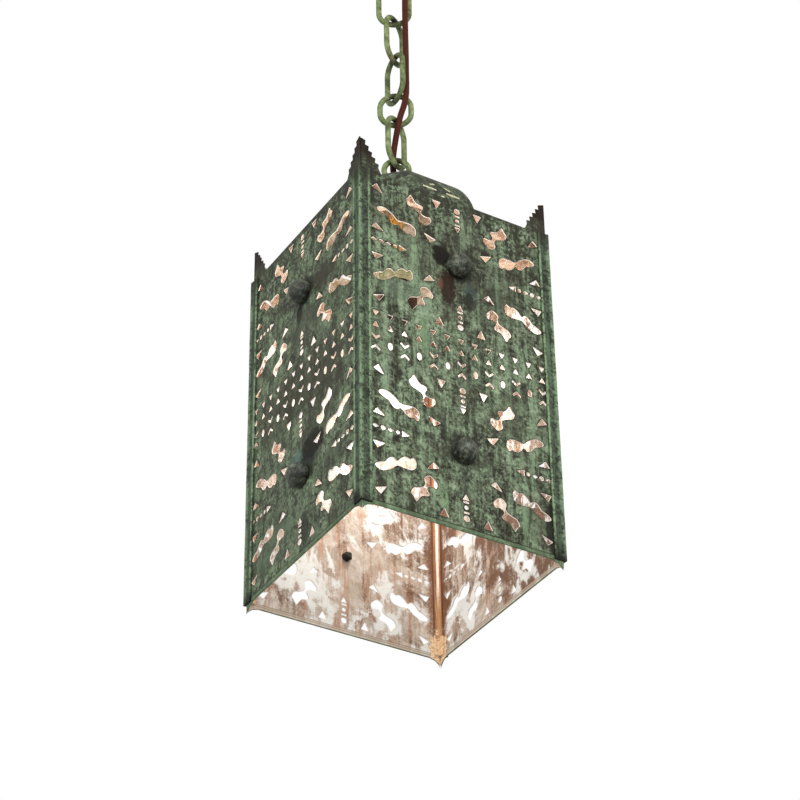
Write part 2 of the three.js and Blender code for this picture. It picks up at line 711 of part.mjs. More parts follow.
function addCeiling(topContact) {
  addPiece(root, 'ceiling_plate', ceilingPlate(), blackSteel);
  for (const [name, way] of [['left', -1], ['right', 1]]) {
    addPiece(root, `plate_screw_${name}`, plateScrew(), blackSteel).position.x = (way * plateScrewSpacing) / 2;
  }
  addPiece(root, 'canopy', canopy(), paleVerdigris);
  const nippleTop = -plateThickness - seat;
  const collarTop = -canopyDepth - seat;
  const collarLow = collarTop - canopyCollarHeight;
  const nippleLow = -canopyDepth - canopyNippleReach;
  addPiece(root, 'canopy_nipple', rod(neckRadius, nippleLow, nippleTop), brass);
  addPiece(root, 'canopy_collar', turned([
    [neckHole, collarTop], [collarRadius, collarTop], [collarRadius + 0.6, collarTop - 2],
    [collarRadius + 0.6, collarLow + 2], [collarRadius, collarLow], [neckHole, collarLow],
    [neckHole, collarTop]], 12), paleVerdigris);
  const centre = topContact - linkPlay / 2 + loopOuter / 2 - wire;
  const hoop = wireLoop(loopOuter, loopOuter - 2 * wire, centre).rotateZ(linkAngle(canopyLoopTurn));
  const neckLow = centre + loopOuter / 2 - wire * 0.8;
  const neckTop = collarLow - seat;
  const neck = cut(rod(collarRadius, neckLow, neckTop, 12), rod(neckHole, nippleLow - seat, neckTop + 1));
  addPiece(root, 'canopy_loop', join(hoop, neck), paleVerdigris);
}

// Route of the hanging cord: side, rear and height over the point where the lantern's loop hangs, chosen
// to pass in front of the first and fourth links, through the fifth and behind the roof loop.
const cordRoute = [
  [12.5, -7.6, 274.7], [12.5, -7.6, 267], [12.4, -7.7, 252], [12.2, -7.8, 232], [12, -7.8, 212],
  [11.9, -7.6, 192], [11.9, -7.2, 172], [12, -7, 152], [12, -7, 134], [11.9, -7.2, 117],
  [11.9, -6.9, 101], [11.3, -6.9, 87], [9, -7.2, 73], [5.2, -7.3, 59], [2.4, -5.9, 46],
  [0.2, -2.6, 34], [-2, 2, 22], [-3.4, 6.2, 11], [-3.6, 9.6, 0], [-2.4, 12, -10],
  [-0.9, 13.2, -18.4], [-0.2, 13.5, -24], [0, 13.5, -29.1],
];

function addCord() {
  const [cx, cy] = place(canopyExit.side, canopyExit.rear);
  const [rx, ry] = place(roofEntry.side, roofEntry.rear);
  addPiece(root, 'canopy_boot', cordBoot(-canopyDepth, -1).translate(cx, cy, 0), jacket);
  addPiece(root, 'canopy_lead', rod(cordRadius, -canopyDepth + bootShank + seat, -0.5, 8).translate(cx, cy, 0), jacket);
  addPiece(lantern, 'roof_boot', cordBoot(domeTop, 1).translate(rx, ry, 0), jacket);
  const leadTop = domeTop - bootShank - seat;
  addPiece(lantern, 'lamp_lead', rod(cordRadius, holderTop + 2 + seat, leadTop, 8).translate(rx, ry, 0), jacket);

  const points = cordRoute.map(([side, rear, level]) => new THREE.Vector3(...place(side, rear),
    loopContact + level - dropToBody));
  const path = new THREE.CatmullRomCurve3(points, false, 'centripetal');
  const section = new THREE.Shape(polygon(cordRadius, 8).map(([x, y]) => new THREE.Vector2(x, y)));
  const run = new THREE.ExtrudeGeometry(section, { steps: 22, bevelEnabled: false, extrudePath: path });
  addPiece(root, 'cord', run, jacket);
}

const levels = contactLevels();
addBody();
const couplingTop = addRoof();
addLamp(couplingTop);
addChain(levels);
addCeiling(levels[0]);
addCord();

export default root;
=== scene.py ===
"""A square pierced-copper pendant lantern on a chain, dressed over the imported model.

Shapes are drawn in millimetres in the model's own frame, and scaled to metres as they are made.
"""

import json
import math

import bmesh
import bpy
import numpy as np
from mathutils import Matrix, Vector, noise
from mathutils.geometry import delaunay_2d_cdt

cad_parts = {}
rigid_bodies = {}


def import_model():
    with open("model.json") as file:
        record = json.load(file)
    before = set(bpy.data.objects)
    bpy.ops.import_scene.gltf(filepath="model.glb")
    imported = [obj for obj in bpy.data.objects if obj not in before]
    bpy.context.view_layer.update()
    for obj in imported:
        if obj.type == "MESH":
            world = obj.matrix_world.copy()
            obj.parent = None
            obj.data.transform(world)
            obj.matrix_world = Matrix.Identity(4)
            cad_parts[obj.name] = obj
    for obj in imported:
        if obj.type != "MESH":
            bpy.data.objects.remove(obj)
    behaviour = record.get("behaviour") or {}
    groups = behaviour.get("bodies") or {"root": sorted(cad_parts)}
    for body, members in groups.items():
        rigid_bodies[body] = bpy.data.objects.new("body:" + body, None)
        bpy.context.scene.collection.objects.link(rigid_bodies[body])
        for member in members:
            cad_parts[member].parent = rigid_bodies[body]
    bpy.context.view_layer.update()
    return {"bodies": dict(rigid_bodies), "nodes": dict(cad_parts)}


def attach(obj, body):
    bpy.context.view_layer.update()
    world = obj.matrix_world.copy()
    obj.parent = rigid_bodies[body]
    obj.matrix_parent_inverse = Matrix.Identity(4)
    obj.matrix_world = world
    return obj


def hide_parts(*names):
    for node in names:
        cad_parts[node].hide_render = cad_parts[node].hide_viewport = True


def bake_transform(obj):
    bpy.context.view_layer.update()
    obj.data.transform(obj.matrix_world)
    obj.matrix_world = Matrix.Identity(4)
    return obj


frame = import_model()
bpy.context.scene.view_settings.view_transform = "Standard"

# ---------------------------------------------------------------- sizes, in millimetres
MM = 0.001
SEAT = 0.3  # clearance between two pieces that touch
DROP = 835.0  # from the ceiling down to the lantern's lower edge, from which its levels count
HALF, HIGH, SHEET = 108.0, 383.0, 1.2  # half width, height and metal of the square body
SIDES = ("front", "right", "back", "left")
CORNERS = ("front_left", "front_right", "back_right", "back_left")
TILES = (300.0, 85.3)  # levels of the knobs, each in the middle of its tile
DOME_IN, DOME_RISE, DOME_WAIST, DOME_BELLY = 90.8, 75.6, 0.589, 1.19
DOME_CAP, DOME_FLANGE, DOME_SHEET = 24.0, 6.0, 1.4
DOME_TOP, DECK_TOP = HIGH + DOME_RISE, HIGH - 1.5
WIRE = 6.0
CONTACTS = [level - DROP for level in (762.5, 708.0, 653.5, 599.0, 564.5, 510.0)]  # where links touch
RING_WIDTH, RING_PITCH = 32, 20  # the two cast rings
LINK_WIDTH, LINK_PLAY = 39, 0.5
FACING = math.radians(-31.6)  # the round link's plane
CANOPY_LOW, COLLAR_HIGH, CANOPY_COLLAR = -28.0, 14, 8
UPPER_BOOT, LOWER_BOOT = (12.5, -7.6), (0, 13.5)  # where the cord leaves the canopy and enters the roof


def place(side, rear, level=0.0):
    """A place seen along the round link's face, as x, y and a height over the lantern's lower edge."""
    c, s = math.cos(FACING), math.sin(FACING)
    return Vector((side * c - rear * s, side * s + rear * c, level - DROP))


def linked(name, data):
    """A new object of the data, in the scene."""
    obj = bpy.data.objects.new(name, data)
    bpy.context.scene.collection.objects.link(obj)
    return obj


def make_camera():
    """The camera as solved from the eight corners of the body."""
    data = bpy.data.cameras.new("view_camera")
    data.lens, data.sensor_width = 116.53, 36.0
    data.clip_start, data.clip_end = 0.05, 30
    camera = linked("view_camera", data)
    right = Vector((0.8572882, -0.5146667, -0.0132301))
    up = Vector((-0.2827658, -0.4921711, 0.8232929))
    ahead = Vector((0.4302329, 0.7020583, 0.5674626))
    turn = Matrix((right, up, -ahead)).transposed().to_4x4()
    camera.matrix_world = Matrix.Translation((-1.0909, -1.7797, -2.0643)) @ turn
    bpy.context.scene.camera = camera


# ---------------------------------------------------------------- mesh helpers
def new_object(name, verts, faces, materials, smooth=35.0, indices=None, uvs=None, attribute=None):
    """A mesh object from points in millimetres of the part's frame."""
    mesh = bpy.data.meshes.new(name)
    mesh.from_pydata([Vector(v) * MM for v in verts], [], faces)
    if uvs is not None:
        layer = mesh.uv_layers.new(name="UVMap")
        for loop in mesh.loops:
            layer.data[loop.index].uv = uvs[loop.vertex_index]
    if attribute is not None:
        values = mesh.attributes.new(attribute[0], "FLOAT", "POINT")
        values.data.foreach_set("value", np.array(attribute[1], np.float32))
    for material in materials:
        mesh.materials.append(material)
    if indices is not None:
        mesh.polygons.foreach_set("material_index", indices)
    mesh.validate()
    if smooth is not None:
        shade(mesh, smooth)
    return linked(name, mesh)


def shade(mesh, degrees):
    mesh.polygons.foreach_set("use_smooth", [True] * len(mesh.polygons))
    mesh.set_sharp_from_angle(angle=math.radians(degrees))


def baked(obj, smooth):
    """The object with its modifiers applied."""
    bpy.context.view_layer.update()
    graph = bpy.context.evaluated_depsgraph_get()
    mesh = bpy.data.meshes.new_from_object(obj.evaluated_get(graph), depsgraph=graph)
    obj.modifiers.clear()
    obj.data = mesh
    shade(mesh, smooth)
    return obj


def reworked(obj, change):
    """The object with its mesh changed through bmesh."""
    work = bmesh.new()
    work.from_mesh(obj.data)
    change(work)
    work.to_mesh(obj.data)
    work.free()
    return obj


def outward(obj):
    """The object with every face of its closed shells pointing outwards."""
    return reworked(obj, lambda work: bmesh.ops.recalc_face_normals(work, faces=work.faces))


def skin(rows, closed=False):
    """Faces between rows of point numbers that each run round. A row of one number is a pole."""
    faces = []
    for low, high in zip(rows, rows[1:] + (rows[:1] if closed else [])):
        for k in range(len(low)):
            j = (k + 1) % len(low)
            face = list(dict.fromkeys((low[k], low[j], high[j], high[k])))
            if len(face) > 2:
                faces.append(face)
    return faces


def sweep(count, size, closed=False):
    """Faces of a solid through rows of points, with capped ends unless it closes on itself."""
    rows = [list(range(i * size, (i + 1) * size)) for i in range(count)]
    return skin(rows, closed) + ([] if closed else [rows[0][::-1], rows[-1]])


def lathe(profile, segments, closed=False):
    """Points and faces of a profile of (radius, height) turned about Z."""
    verts, rows = [], []
    for r, z in profile:
        pole = r < 1e-6
        rows.append([len(verts)] * segments if pole else list(range(len(verts), len(verts) + segments)))
        verts += [(0.0, 0.0, z)] if pole else [(x, y, z) for x, y in polygon(r, segments)]
    return verts, skin(rows, closed)


def lifted(profile, base, way=1):
    """The profile set on a level, upwards or downwards."""
    return [(r, base + way * z) for r, z in profile]


def moved(part, matrix):
    verts, faces = part
    return [matrix @ Vector(v) for v in verts], faces


def shifted(part, spot):
    return moved(part, Matrix.Translation((spot.x, spot.y, 0)))


def joined(*parts):
    verts, faces = [], []
    for part in parts:
        base = len(verts)
        verts += part[0]
        faces += [[i + base for i in face] for face in part[1]]
    return verts, faces


def frames(points, closed):
    """A steady pair of cross directions at each point of a path."""
    count = len(points)
    tangents = []
    for i in range(count):
        if closed:
            t = points[(i + 1) % count] - points[i - 1]
        else:
            t = points[min(i + 1, count - 1)] - points[max(i - 1, 0)]
        tangents.append(t.normalized())
    start = Vector((0, 0, 1)) if abs(tangents[0].z) < 0.9 else Vector((1, 0, 0))
    normal = (start - tangents[0] * start.dot(tangents[0])).normalized()
    result = []
    for t in tangents:
        normal = (normal - t * normal.dot(t)).normalized()
        result.append((normal, t.cross(normal)))
    return result


def tube(points, radius, sides, closed=False, swell=lambda i: 1.0):
    """Points, faces and UVs of a round tube along a path, UVs in metres along and turns around."""
    verts, uvs, run = [], [], 0.0
    for i, (p, (n, b)) in enumerate(zip(points, frames(points, closed))):
        run += (p - points[i - 1]).length if i else 0.0
        r = radius * swell(i)
        for k in range(sides):
            a = 2 * math.pi * k / sides
            verts.append(p + (n * math.cos(a) + b * math.sin(a)) * r)
            uvs.append((run * MM, k / sides))
    return verts, sweep(len(points), sides, closed), uvs


def assign(obj, slot, *nodes, body="lantern"):
    """Hides the nodes the object stands for and sets the object on the body that carries it. The slot is not
    used.
    """
    if nodes:
        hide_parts(*nodes)
    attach(obj, body)


def turned(name, shape, material, smooth, slot, node, body="lantern"):
    """A closed piece of one material, made and assigned."""
    assign(outward(new_object(name, *shape, [material], smooth)), slot, node, body=body)


# ---------------------------------------------------------------- node materials
class Value:
    """An output of a material's node. Arithmetic on it adds maths nodes."""

    def __init__(self, surface, socket):
        self.surface, self.socket = surface, socket

    def __add__(self, other):
        return self.surface.math("ADD", self, other)

    def __sub__(self, other):
        return self.surface.math("SUBTRACT", self, other)

    def __mul__(self, other):
        return self.surface.math("MULTIPLY", self, other)

    def __truediv__(self, other):
        return self.surface.math("DIVIDE", self, other)

    def __abs__(self):
        return self.surface.math("ABSOLUTE", self)


class Surface:
    """A procedural material: colours, roughness and bump mixed from textures in object space."""

    def __init__(self, name, metallic=0.0, bump=0.3, relief=0.0004, gloss=0.3):
        self.material = bpy.data.materials.new(name)
        self.material.use_nodes = True
        self.tree = self.material.node_tree
        self.tree.nodes.clear()
        looks = {"Metallic": metallic, "Specular IOR Level": gloss}
        self.shader = self.add("ShaderNodeBsdfPrincipled", looks)
        self.add("ShaderNodeOutputMaterial", {0: Value(self, self.shader.outputs[0])})
        self.bump = self.add("ShaderNodeBump", {"Strength": bump, "Distance": relief})
        self.feed(self.shader.inputs["Normal"], Value(self, self.bump.outputs[0]))
        self.where = Value(self, self.add("ShaderNodeTexCoord").outputs["Object"])

    def add(self, kind, inputs=(), **settings):
        """A node with its settings and the values or links of its inputs."""
        node = self.tree.nodes.new(kind)
        for key, value in settings.items():
            setattr(node, key, value)
        for key, value in dict(inputs).items():
            self.feed(node.inputs[key], value)
        return node

    def feed(self, socket, value):
        if isinstance(value, Value):
            self.tree.links.new(value.socket, socket)
        else:
            socket.default_value = value

    def math(self, operation, a, b=0.0):
        return Value(self, self.add("ShaderNodeMath", {0: a, 1: b}, operation=operation).outputs[0])

    def stretched(self, scale, shift):
        """The object's coordinates, scaled and shifted."""
        node = self.add("ShaderNodeMapping", {"Vector": self.where, "Scale": scale, "Location": shift})
        return Value(self, node.outputs[0])

    def noise(self, scale, detail, rough, warp=0.0, source=None):
        node = self.add("ShaderNodeTexNoise", {
            "Vector": source or self.where, "Scale": scale, "Detail": detail, "Roughness": rough,
            "Distortion": warp})
        return Value(self, node.outputs[0])

    def drawn(self, scale, shift, detail, rough, warp=0.0):
        """Noise drawn out into streaks."""
        return self.noise(1, detail, rough, warp, self.stretched(scale, shift))

    def band(self, value, low, high, to_low=0.0, to_high=1.0):
        """A smooth step of the value between two of its levels."""
        limits = {"From Min": low, "From Max": high, "To Min": to_low, "To Max": to_high}
        node = self.add("ShaderNodeMapRange", {"Value": value, **limits}, interpolation_type="SMOOTHSTEP")
        return Value(self, node.outputs["Result"])

    def ramp(self, value, *stops):
        node = self.add("ShaderNodeValToRGB", {0: value})
        elements = node.color_ramp.elements
        while len(elements) < len(stops):
            elements.new(0.5)
        for element, (position, colour) in zip(elements, stops):
            element.position = position
            element.color = linear(colour)
        return Value(self, node.outputs["Color"])

    def mix(self, amount, a, b):
        node = self.add("ShaderNodeMix", {0: amount}, data_type="RGBA")
        for socket, colour in ((node.inputs[6], a), (node.inputs[7], b)):
            self.feed(socket, colour if isinstance(colour, Value) else linear(colour))
        return Value(self, node.outputs[2])

    def coats(self, tone, *layers):
        """The tone under coats, each a colour that comes on as a value goes from low to high."""
        for colour, value, low, high, amount in layers:
            tone = self.mix(self.band(value, low, high, 0, amount), tone, colour)
        return tone

    def axes(self, source=None):
        node = self.add("ShaderNodeSeparateXYZ", {0: source or self.where})
        return [Value(self, socket) for socket in node.outputs]

    def level(self, zero=0.0):
        """Height in metres over a level of the lantern."""
        return self.axes()[2] + (DROP - zero) * MM

    def unrolled(self):
        """Places in metres on the flat sheet, or along and round the cord."""
        return self.axes(Value(self, self.add("ShaderNodeUVMap", uv_map="UVMap").outputs[0]))

    def attribute(self, name):
        return Value(self, self.add("ShaderNodeAttribute", attribute_name=name).outputs["Fac"])

    def finish(self, colour, rough, height):
        self.feed(self.shader.inputs["Base Color"], colour)
        self.feed(self.shader.inputs["Roughness"], rough)
        self.feed(self.bump.inputs["Height"], height)
        return self.material


def linear(colour):
    """Linear RGBA of an sRGB hex number, or of a colour that is linear already."""
    if not isinstance(colour, str):
        return (*colour, 1.0)
    values = [int(colour[i : i + 2], 16) / 255 for i in (0, 2, 4)]
    return (*(v / 12.92 if v <= 0.04045 else ((v + 0.055) / 1.055) ** 2.4 for v in values), 1.0)


GOLD = ((0.4, "c6a07a"), (0.49, "f2d2a8"), (0.6, "fdeccf"))  # the gilt foot of the far corner


def aged_sheet(name, stains_and_shade=(), seed=0.0, runs=1.0, dim=0.0):
    """Copper sheet weathered to grey-green: mottled, streaked downwards, and brown at its top and spires.
    Stains, and on the left sheet one band of painted shade, are ellipses on the flat sheet, as centre x and
    z, half width, half height, colour and amount.
    A sheet without them is the roof's, which has no brown top and is dimmed instead."""
    s = Surface(name, metallic=0.05, bump=0.6, relief=0.0006, gloss=0.12)
    own = s.stretched((1, 1, 1), (seed, seed * 0.7, 0))
    grain = s.noise(330, 8, 0.74, 0.3, own)
    clouds = s.noise(52, 7, 0.68, 1.1, own)
    broad = s.noise(14, 5, 0.62, 0.8, own)
    streak = s.drawn((120, 120, 10), (3.1 + seed, 1.7, 0.4), 6, 0.64, 0.7)
    thin = s.drawn((360, 360, 26), (0.3, 4.1 + seed, 2.0), 4, 0.62, 0.5)
    dark = s.drawn((85, 85, 13), (8.3, 2.2 + seed, 1.4), 6, 0.66, 0.9)
    mottle = grain * 0.55 + clouds * 0.45 + (streak - 0.5) * (0.35 * runs)
    tone = s.ramp(mottle, (0.405, "25241b"), (0.45, "3f4234"), (0.49, "5b6450"), (0.525, "6f7e64"),
                  (0.57, "8b9c7f"), (0.64, "adb99b"))
    tone = s.coats(
        tone, ("7f9878", streak, 0.55, 0.64, 0.55 * runs), ("98ad8e", thin, 0.58, 0.66, 0.3 * runs),
        ("4a4a3c", broad, 0.50, 0.38, 0.5), ("302f25", dark, 0.55, 0.63, 0.7 * runs),
        ("23211a", grain, 0.44, 0.36, 0.5))
    if runs < 1:
        swirl = s.noise(34, 7, 0.66, 2.6, s.stretched((1, 1, 0.45), (5.1, 0.3, seed)))
        tone = s.coats(tone, ("39372c", swirl, 0.53, 0.6, 0.6), ("7b8b70", swirl, 0.46, 0.40, 0.4))
    if not stains_and_shade:
        rough_clouds = clouds + (grain - 0.5) * 0.5
        tone = s.mix(s.band(rough_clouds, 0.42, 0.6, dim, dim * 0.4), tone, "2b2920")
    else:
        shoulder = s.level(HIGH)
        edge = shoulder + (clouds - 0.5) * 0.05
        tone = s.coats(tone, ("2e2e23", shoulder - (mottle - 0.5) * 1.1, -0.06, 0.01, 0.75),
                       ("36322a", edge, -0.008, 0.002, 0.65), ("261c15", edge, 0.008, 0.026, 0.92))
        across, up, _ = s.unrolled()
        wobble = s.noise(60, 7, 0.72, 1.2, own) - 0.5
        broken = s.band(streak + grain * 0.4, 0.6, 0.74, 0.25, 1.0)
        for x, z, wide, tall, colour, amount in stains_and_shade:
            dx, dz = (across - x * MM) / (wide * MM), (up - z * MM) / (tall * MM)
            run, crisp = tall > 4 * wide, amount > 0.8
            far = dx * dx + dz * dz + wobble * (2.4 if crisp and not run else 4.6)
            low, high = (1.5, -0.2) if run else ((1.25, 0.6) if crisp else (1.5, 0.25))
            near = s.band(far, low, high, 0, amount)
            tone = s.mix(near * broken if run else near, tone, colour)
        # On the rolled hem at the foot: a paler green painted highlight, and a dark line of painted shade in
        # the crease at its top.
        tone = s.coats(
            tone, ("6c8562", up, 0.0052, 0.0036, 0.5), ("2a2a22", abs(up - 0.0047), 0.0012, 0.0003, 0.7),
            ("24221a", s.attribute("rim"), 0.1, 0.9, 0.8))
    return s.finish(tone, s.band(mottle, 0.42, 0.6, 0.55, 0.85), grain * 0.7 + clouds)


def bare_inside(name):
    """The sheets' inner face: bare copper, pale in the light, with brown runs and patches, and white
    bloom round the slots."""
    s = Surface(name, metallic=0.03, bump=0.45, relief=0.0005, gloss=0.25)
    grain = s.noise(420, 7, 0.72)
    clouds = s.noise(48, 9, 0.7, 0.7)
    runs = s.drawn((125, 125, 11), (1.3, 2.7, 0.9), 7, 0.68, 0.5)
    pale = s.drawn((100, 100, 12), (6.3, 0.7, 3.9), 7, 0.68, 0.5)
    broad = s.noise(17, 9, 0.68, 0.5, s.stretched((1, 1, 1), (4.4, 1.0, 2.2)))
    cells = s.noise(24, 5, 0.56, 1.5, s.stretched((1, 1, 0.8), (0.4, 7.0, 1.2)))
    x, y, _ = s.axes()
    level = s.level()
    corner = s.math("MINIMUM", abs(x), abs(y))
    upper = s.ramp(clouds, (0.42, "a5846c"), (0.58, "e6cbb2"))
    dome = s.ramp(clouds, (0.42, "a8937f"), (0.58, "e4d8c6"))
    tone = s.ramp(clouds, (0.4, "b5a493"), (0.48, "cabcad"), (0.55, "d8cfc5"), (0.62, "e8e4dd"))
    tone = s.coats(tone, ("bf967b", runs, 0.48, 0.61, 0.8), ("d6d1c8", pale, 0.51, 0.60, 0.65),
                   (upper, level, 0.29, 0.36, 0.75), (dome, level, 0.388, 0.394, 1))
    bloom = cells + s.attribute("rim") * 0.16 + (clouds - 0.5) * 0.45 + (pale - 0.5) * 0.35
    bloom = bloom - s.band(level, 0.06, 0.11, 0, 0.035) + s.band(level, 0.15, 0.21, 0, 0.08)
    bloom = bloom - s.band(level, 0.31, 0.35, 0, 0.12) - s.band(x, 0.1, 0.104, 0, 0.02)
    patches = broad + (grain - 0.5) * 0.35 + s.band(corner, 0.04, 0.1, 0, 0.05)
    patches = patches + (runs - 0.5) * 0.4 + s.band(x, 0.1, 0.104, 0, 0.1)
    tone = s.coats(tone, ("75533d", patches, 0.51, 0.68, 0.95), ("f6fbfa", bloom, 0.515, 0.65, 0.95))
    outline = s.band(abs(bloom - 0.555), 0.008, 0.001, 0, 0.7) * s.band(grain, 0.44, 0.54)
    tone = s.mix(outline, tone, "6f5645")
    # Brown grain and corners. At the foot, a pale band with two thin lines of painted shade, drawn where the
    # folded hem's creases fall.
    tone = s.coats(tone, ("8f7361", grain, 0.56, 0.66, 0.35),
                   ("8a6049", corner + (grain - 0.5) * 0.025, 0.092, 0.1, 0.8),
                   ("d3c9b8", level, 0.0052, 0.0044, 0.7),
                   *[("8d7563", abs(level - line), 0.0007, 0.0002, 0.65) for line in (0.0048, 0.0028)])
    ragged = (s.noise(150, 6, 0.7) - 0.5) * 0.05
    gold = s.band(corner + ragged * 0.5, 0.094, 0.096) * s.band(level + ragged, 0.026, 0.022)
    gold = gold * s.band(s.math("MINIMUM", x, y), -0.12, 0.0)
    tone = s.mix(gold, tone, s.ramp(grain, *GOLD))
    return s.finish(tone, s.band(clouds, 0.3, 0.7, 0.45, 0.7), grain + clouds)


def cut_edge(name):
    """Saw cuts: bare copper painted pale cream to white, partly a painted highlight of the lamp-lit cut
    faces, and pale green on the roof's slots.
    """
    s = Surface(name, metallic=0.05, bump=0.3, relief=0.0003)
    grain = s.noise(700, 4, 0.6)
    # Pale cream to white: bare copper with a painted highlight.
    tone = s.ramp(grain, (0.35, "dcc3b0"), (0.5, "f1e2d4"), (0.65, "faf4ec"))
    green = s.ramp(grain, (0.4, "c9cba0"), (0.6, "eef0d2"))
    tone = s.coats(tone, (green, s.level(), 0.388, 0.394, 0.9))
    return s.finish(tone, s.band(grain, 0.3, 0.7, 0.35, 0.6), grain)


def copper_strip(name):
    """Thin angle in the corner: copper with a painted highlight along its ridge, white above and golden lower
    down, dark brown painted shade where it meets the sheets, and gilt at its foot.
    """
    s = Surface(name, metallic=0.15, bump=0.3, relief=0.0003)
    grain = s.noise(320, 6, 0.7)
    streak = s.drawn((170, 170, 12), (0, 0, 0), 6, 0.66, 0.6)
    x, y, _ = s.axes()
    level = s.level()
    ridge = abs(abs(x) - abs(y)) + (streak - 0.5) * 0.004
    # Painted highlight for the ridge: golden low down, white higher up.
    ridge_highlight = s.mix(s.band(level, 0.05, 0.09), "d0b080", "fffaf4")
    ragged = (s.noise(150, 6, 0.7) - 0.5) * 0.05
    tone = s.ramp(streak, (0.42, "9a6a49"), (0.5, "c08a64"), (0.58, "d9b08c"))
    # Painted highlight on the ridge, then dark brown painted shade towards the edges where the angle meets
    # the sheets.
    tone = s.coats(tone, (ridge_highlight, ridge, 0.0026, 0.0012, 0.95), ("6b4532", ridge, 0.004, 0.0055, 0.85),
                   ("7c5640", grain, 0.56, 0.66, 0.45),
                   (s.ramp(grain, *GOLD), level + ragged, 0.03, 0.026, 1))
    return s.finish(tone, s.band(grain, 0.3, 0.7, 0.35, 0.6), grain)


def strip_metal(name):
    """Corner strips: weathered like the sheets, with a pale painted highlight along the raised beads and
    ridge, painted shade on the flats between them, and black at the foot.
    """
    s = Surface(name, metallic=0.05, bump=0.55, relief=0.0005, gloss=0.12)
    grain = s.noise(360, 8, 0.74, 0.3)
    clouds = s.noise(60, 6, 0.64, 0.9)
    runs = s.drawn((190, 190, 9), (1.1, 5.7, 0.2), 6, 0.62, 0.6)
    mottle = grain * 0.6 + clouds * 0.4
    raised = s.attribute("raised")
    over = s.level(HIGH) + (clouds - 0.5) * 0.04
    foot = over + HIGH * MM
    tone = s.ramp(mottle, (0.41, "1f211b"), (0.46, "383e33"), (0.51, "55604f"), (0.56, "6e8069"),
                  (0.63, "8fa487"))
    tone = s.coats(tone, ("74906f", runs, 0.55, 0.64, 0.55))
    # Painted highlight on the raised beads and ridge, and painted shade on the flats between them.
    tone = s.mix(raised * s.band(mottle, 0.43, 0.52, 0.15, 0.9), tone, "86a27a")
    tone = s.coats(tone, ("2b2c23", raised, 0.25, 0.0, 0.35), ("22221b", grain, 0.46, 0.38, 0.6),
                   ("2b2820", over, -0.028, -0.004, 0.8), ("2a2a22", foot, 0.03, 0.004, 0.6),
                   ("15120d", foot, 0.009, 0.003, 0.85))
    return s.finish(tone, s.band(mottle, 0.4, 0.62, 0.5, 0.85), grain + clouds)


def sage_metal(name):
    """Chain and castings: an even sage-green coat, darker in the pits and where the links touch, which is rub
    wear and painted shade.
    """
    s = Surface(name, metallic=0.05, bump=0.5, relief=0.0003, gloss=0.2)
    grain = s.noise(520, 6, 0.68)
    clouds = s.noise(95, 7, 0.72, 0.5) + (grain - 0.5) * 0.3
    tone = s.ramp(clouds, (0.36, "4b5233"), (0.46, "6d7c4e"), (0.54, "859462"), (0.64, "a3af80"))
    tone = s.coats(tone, ("3c4630", grain, 0.54, 0.66, 0.55),
                   ("66563a", s.noise(45, 4, 0.6, 0.4), 0.56, 0.66, 0.5))
    # Dark where the links touch: rub wear and painted shade between the parts.
    for level in CONTACTS:
        near = s.add("ShaderNodeVectorMath", {0: s.where, 1: (0, 0, level * MM)}, operation="DISTANCE")
        rub_and_shade = Value(s, near.outputs["Value"]) + (grain - 0.5) * 0.012
        tone = s.coats(tone, ("2b2a1e", rub_and_shade, 0.0085, 0.005, 0.85))
    return s.finish(tone, s.band(grain, 0.3, 0.7, 0.45, 0.75), grain + clouds)


def knob_metal(name):
    """Dark cast knobs with fine pale scratches, which also serve as a painted highlight."""
    s = Surface(name, metallic=0.25, bump=0.5, relief=0.0005, gloss=0.4)
    grain = s.noise(380, 6, 0.7, 0.2)
    clouds = s.noise(80, 6, 0.66, 0.8)
    scratch_and_highlight = s.drawn((420, 60, 240), (1.1, 2.3, 0.4), 4, 0.6, 1.2)
    tone = s.ramp(clouds, (0.38, "1a1a16"), (0.47, "30332b"), (0.55, "4b5044"), (0.64, "777f6b"))
    # Pale scratches, partly a painted highlight, and dark grain.
    tone = s.coats(tone, ("93a28d", scratch_and_highlight, 0.57, 0.66, 0.45), ("1d1c17", grain, 0.46, 0.38, 0.5))
    return s.finish(tone, s.band(grain, 0.3, 0.7, 0.36, 0.62), grain + clouds)


def cord_cover(name):
    """Dark red-brown braided cover: a fine diagonal weave on the round cord."""
    s = Surface(name, bump=0.5, relief=0.0002, gloss=0.15)
    along, around, _ = s.unrolled()
    lift, turn = along * (2 * math.pi / 0.0045), around * (2 * math.pi * 8)
    weave = s.band(s.math("SINE", lift + turn) * s.math("SINE", lift - turn), -1, 1)
    wear = s.noise(160, 4, 0.6)
    tone = s.coats(s.mix(weave, "2c0e06", "5c2816"), ("5a3622", wear, 0.56, 0.7, 0.4))
    return s.finish(tone, s.band(wear, 0.3, 0.7, 0.5, 0.72), weave)


def moulded(name, dark, light, rough):
    s = Surface(name, bump=0.2, relief=0.0002)
    wear = s.noise(90, 4, 0.6, 0.3)
    tone = s.ramp(wear, (0.35, dark), (0.65, light))
    return s.finish(tone, s.band(wear, 0.3, 0.7, rough - 0.08, rough + 0.12), s.noise(900, 3, 0.6))


def turned_metal(name, dark, light, metallic=0.85, rough=0.35):
    s = Surface(name, metallic=metallic, bump=0.2, relief=0.0002)
    grain = s.drawn((260, 260, 1400), (0, 0, 0), 4, 0.6)
    wear = s.noise(110, 5, 0.6, 0.5)
    tone = s.ramp(wear, (0.35, dark), (0.62, light))
    return s.finish(tone, s.band(wear, 0.3, 0.7, rough, rough + 0.2), grain)


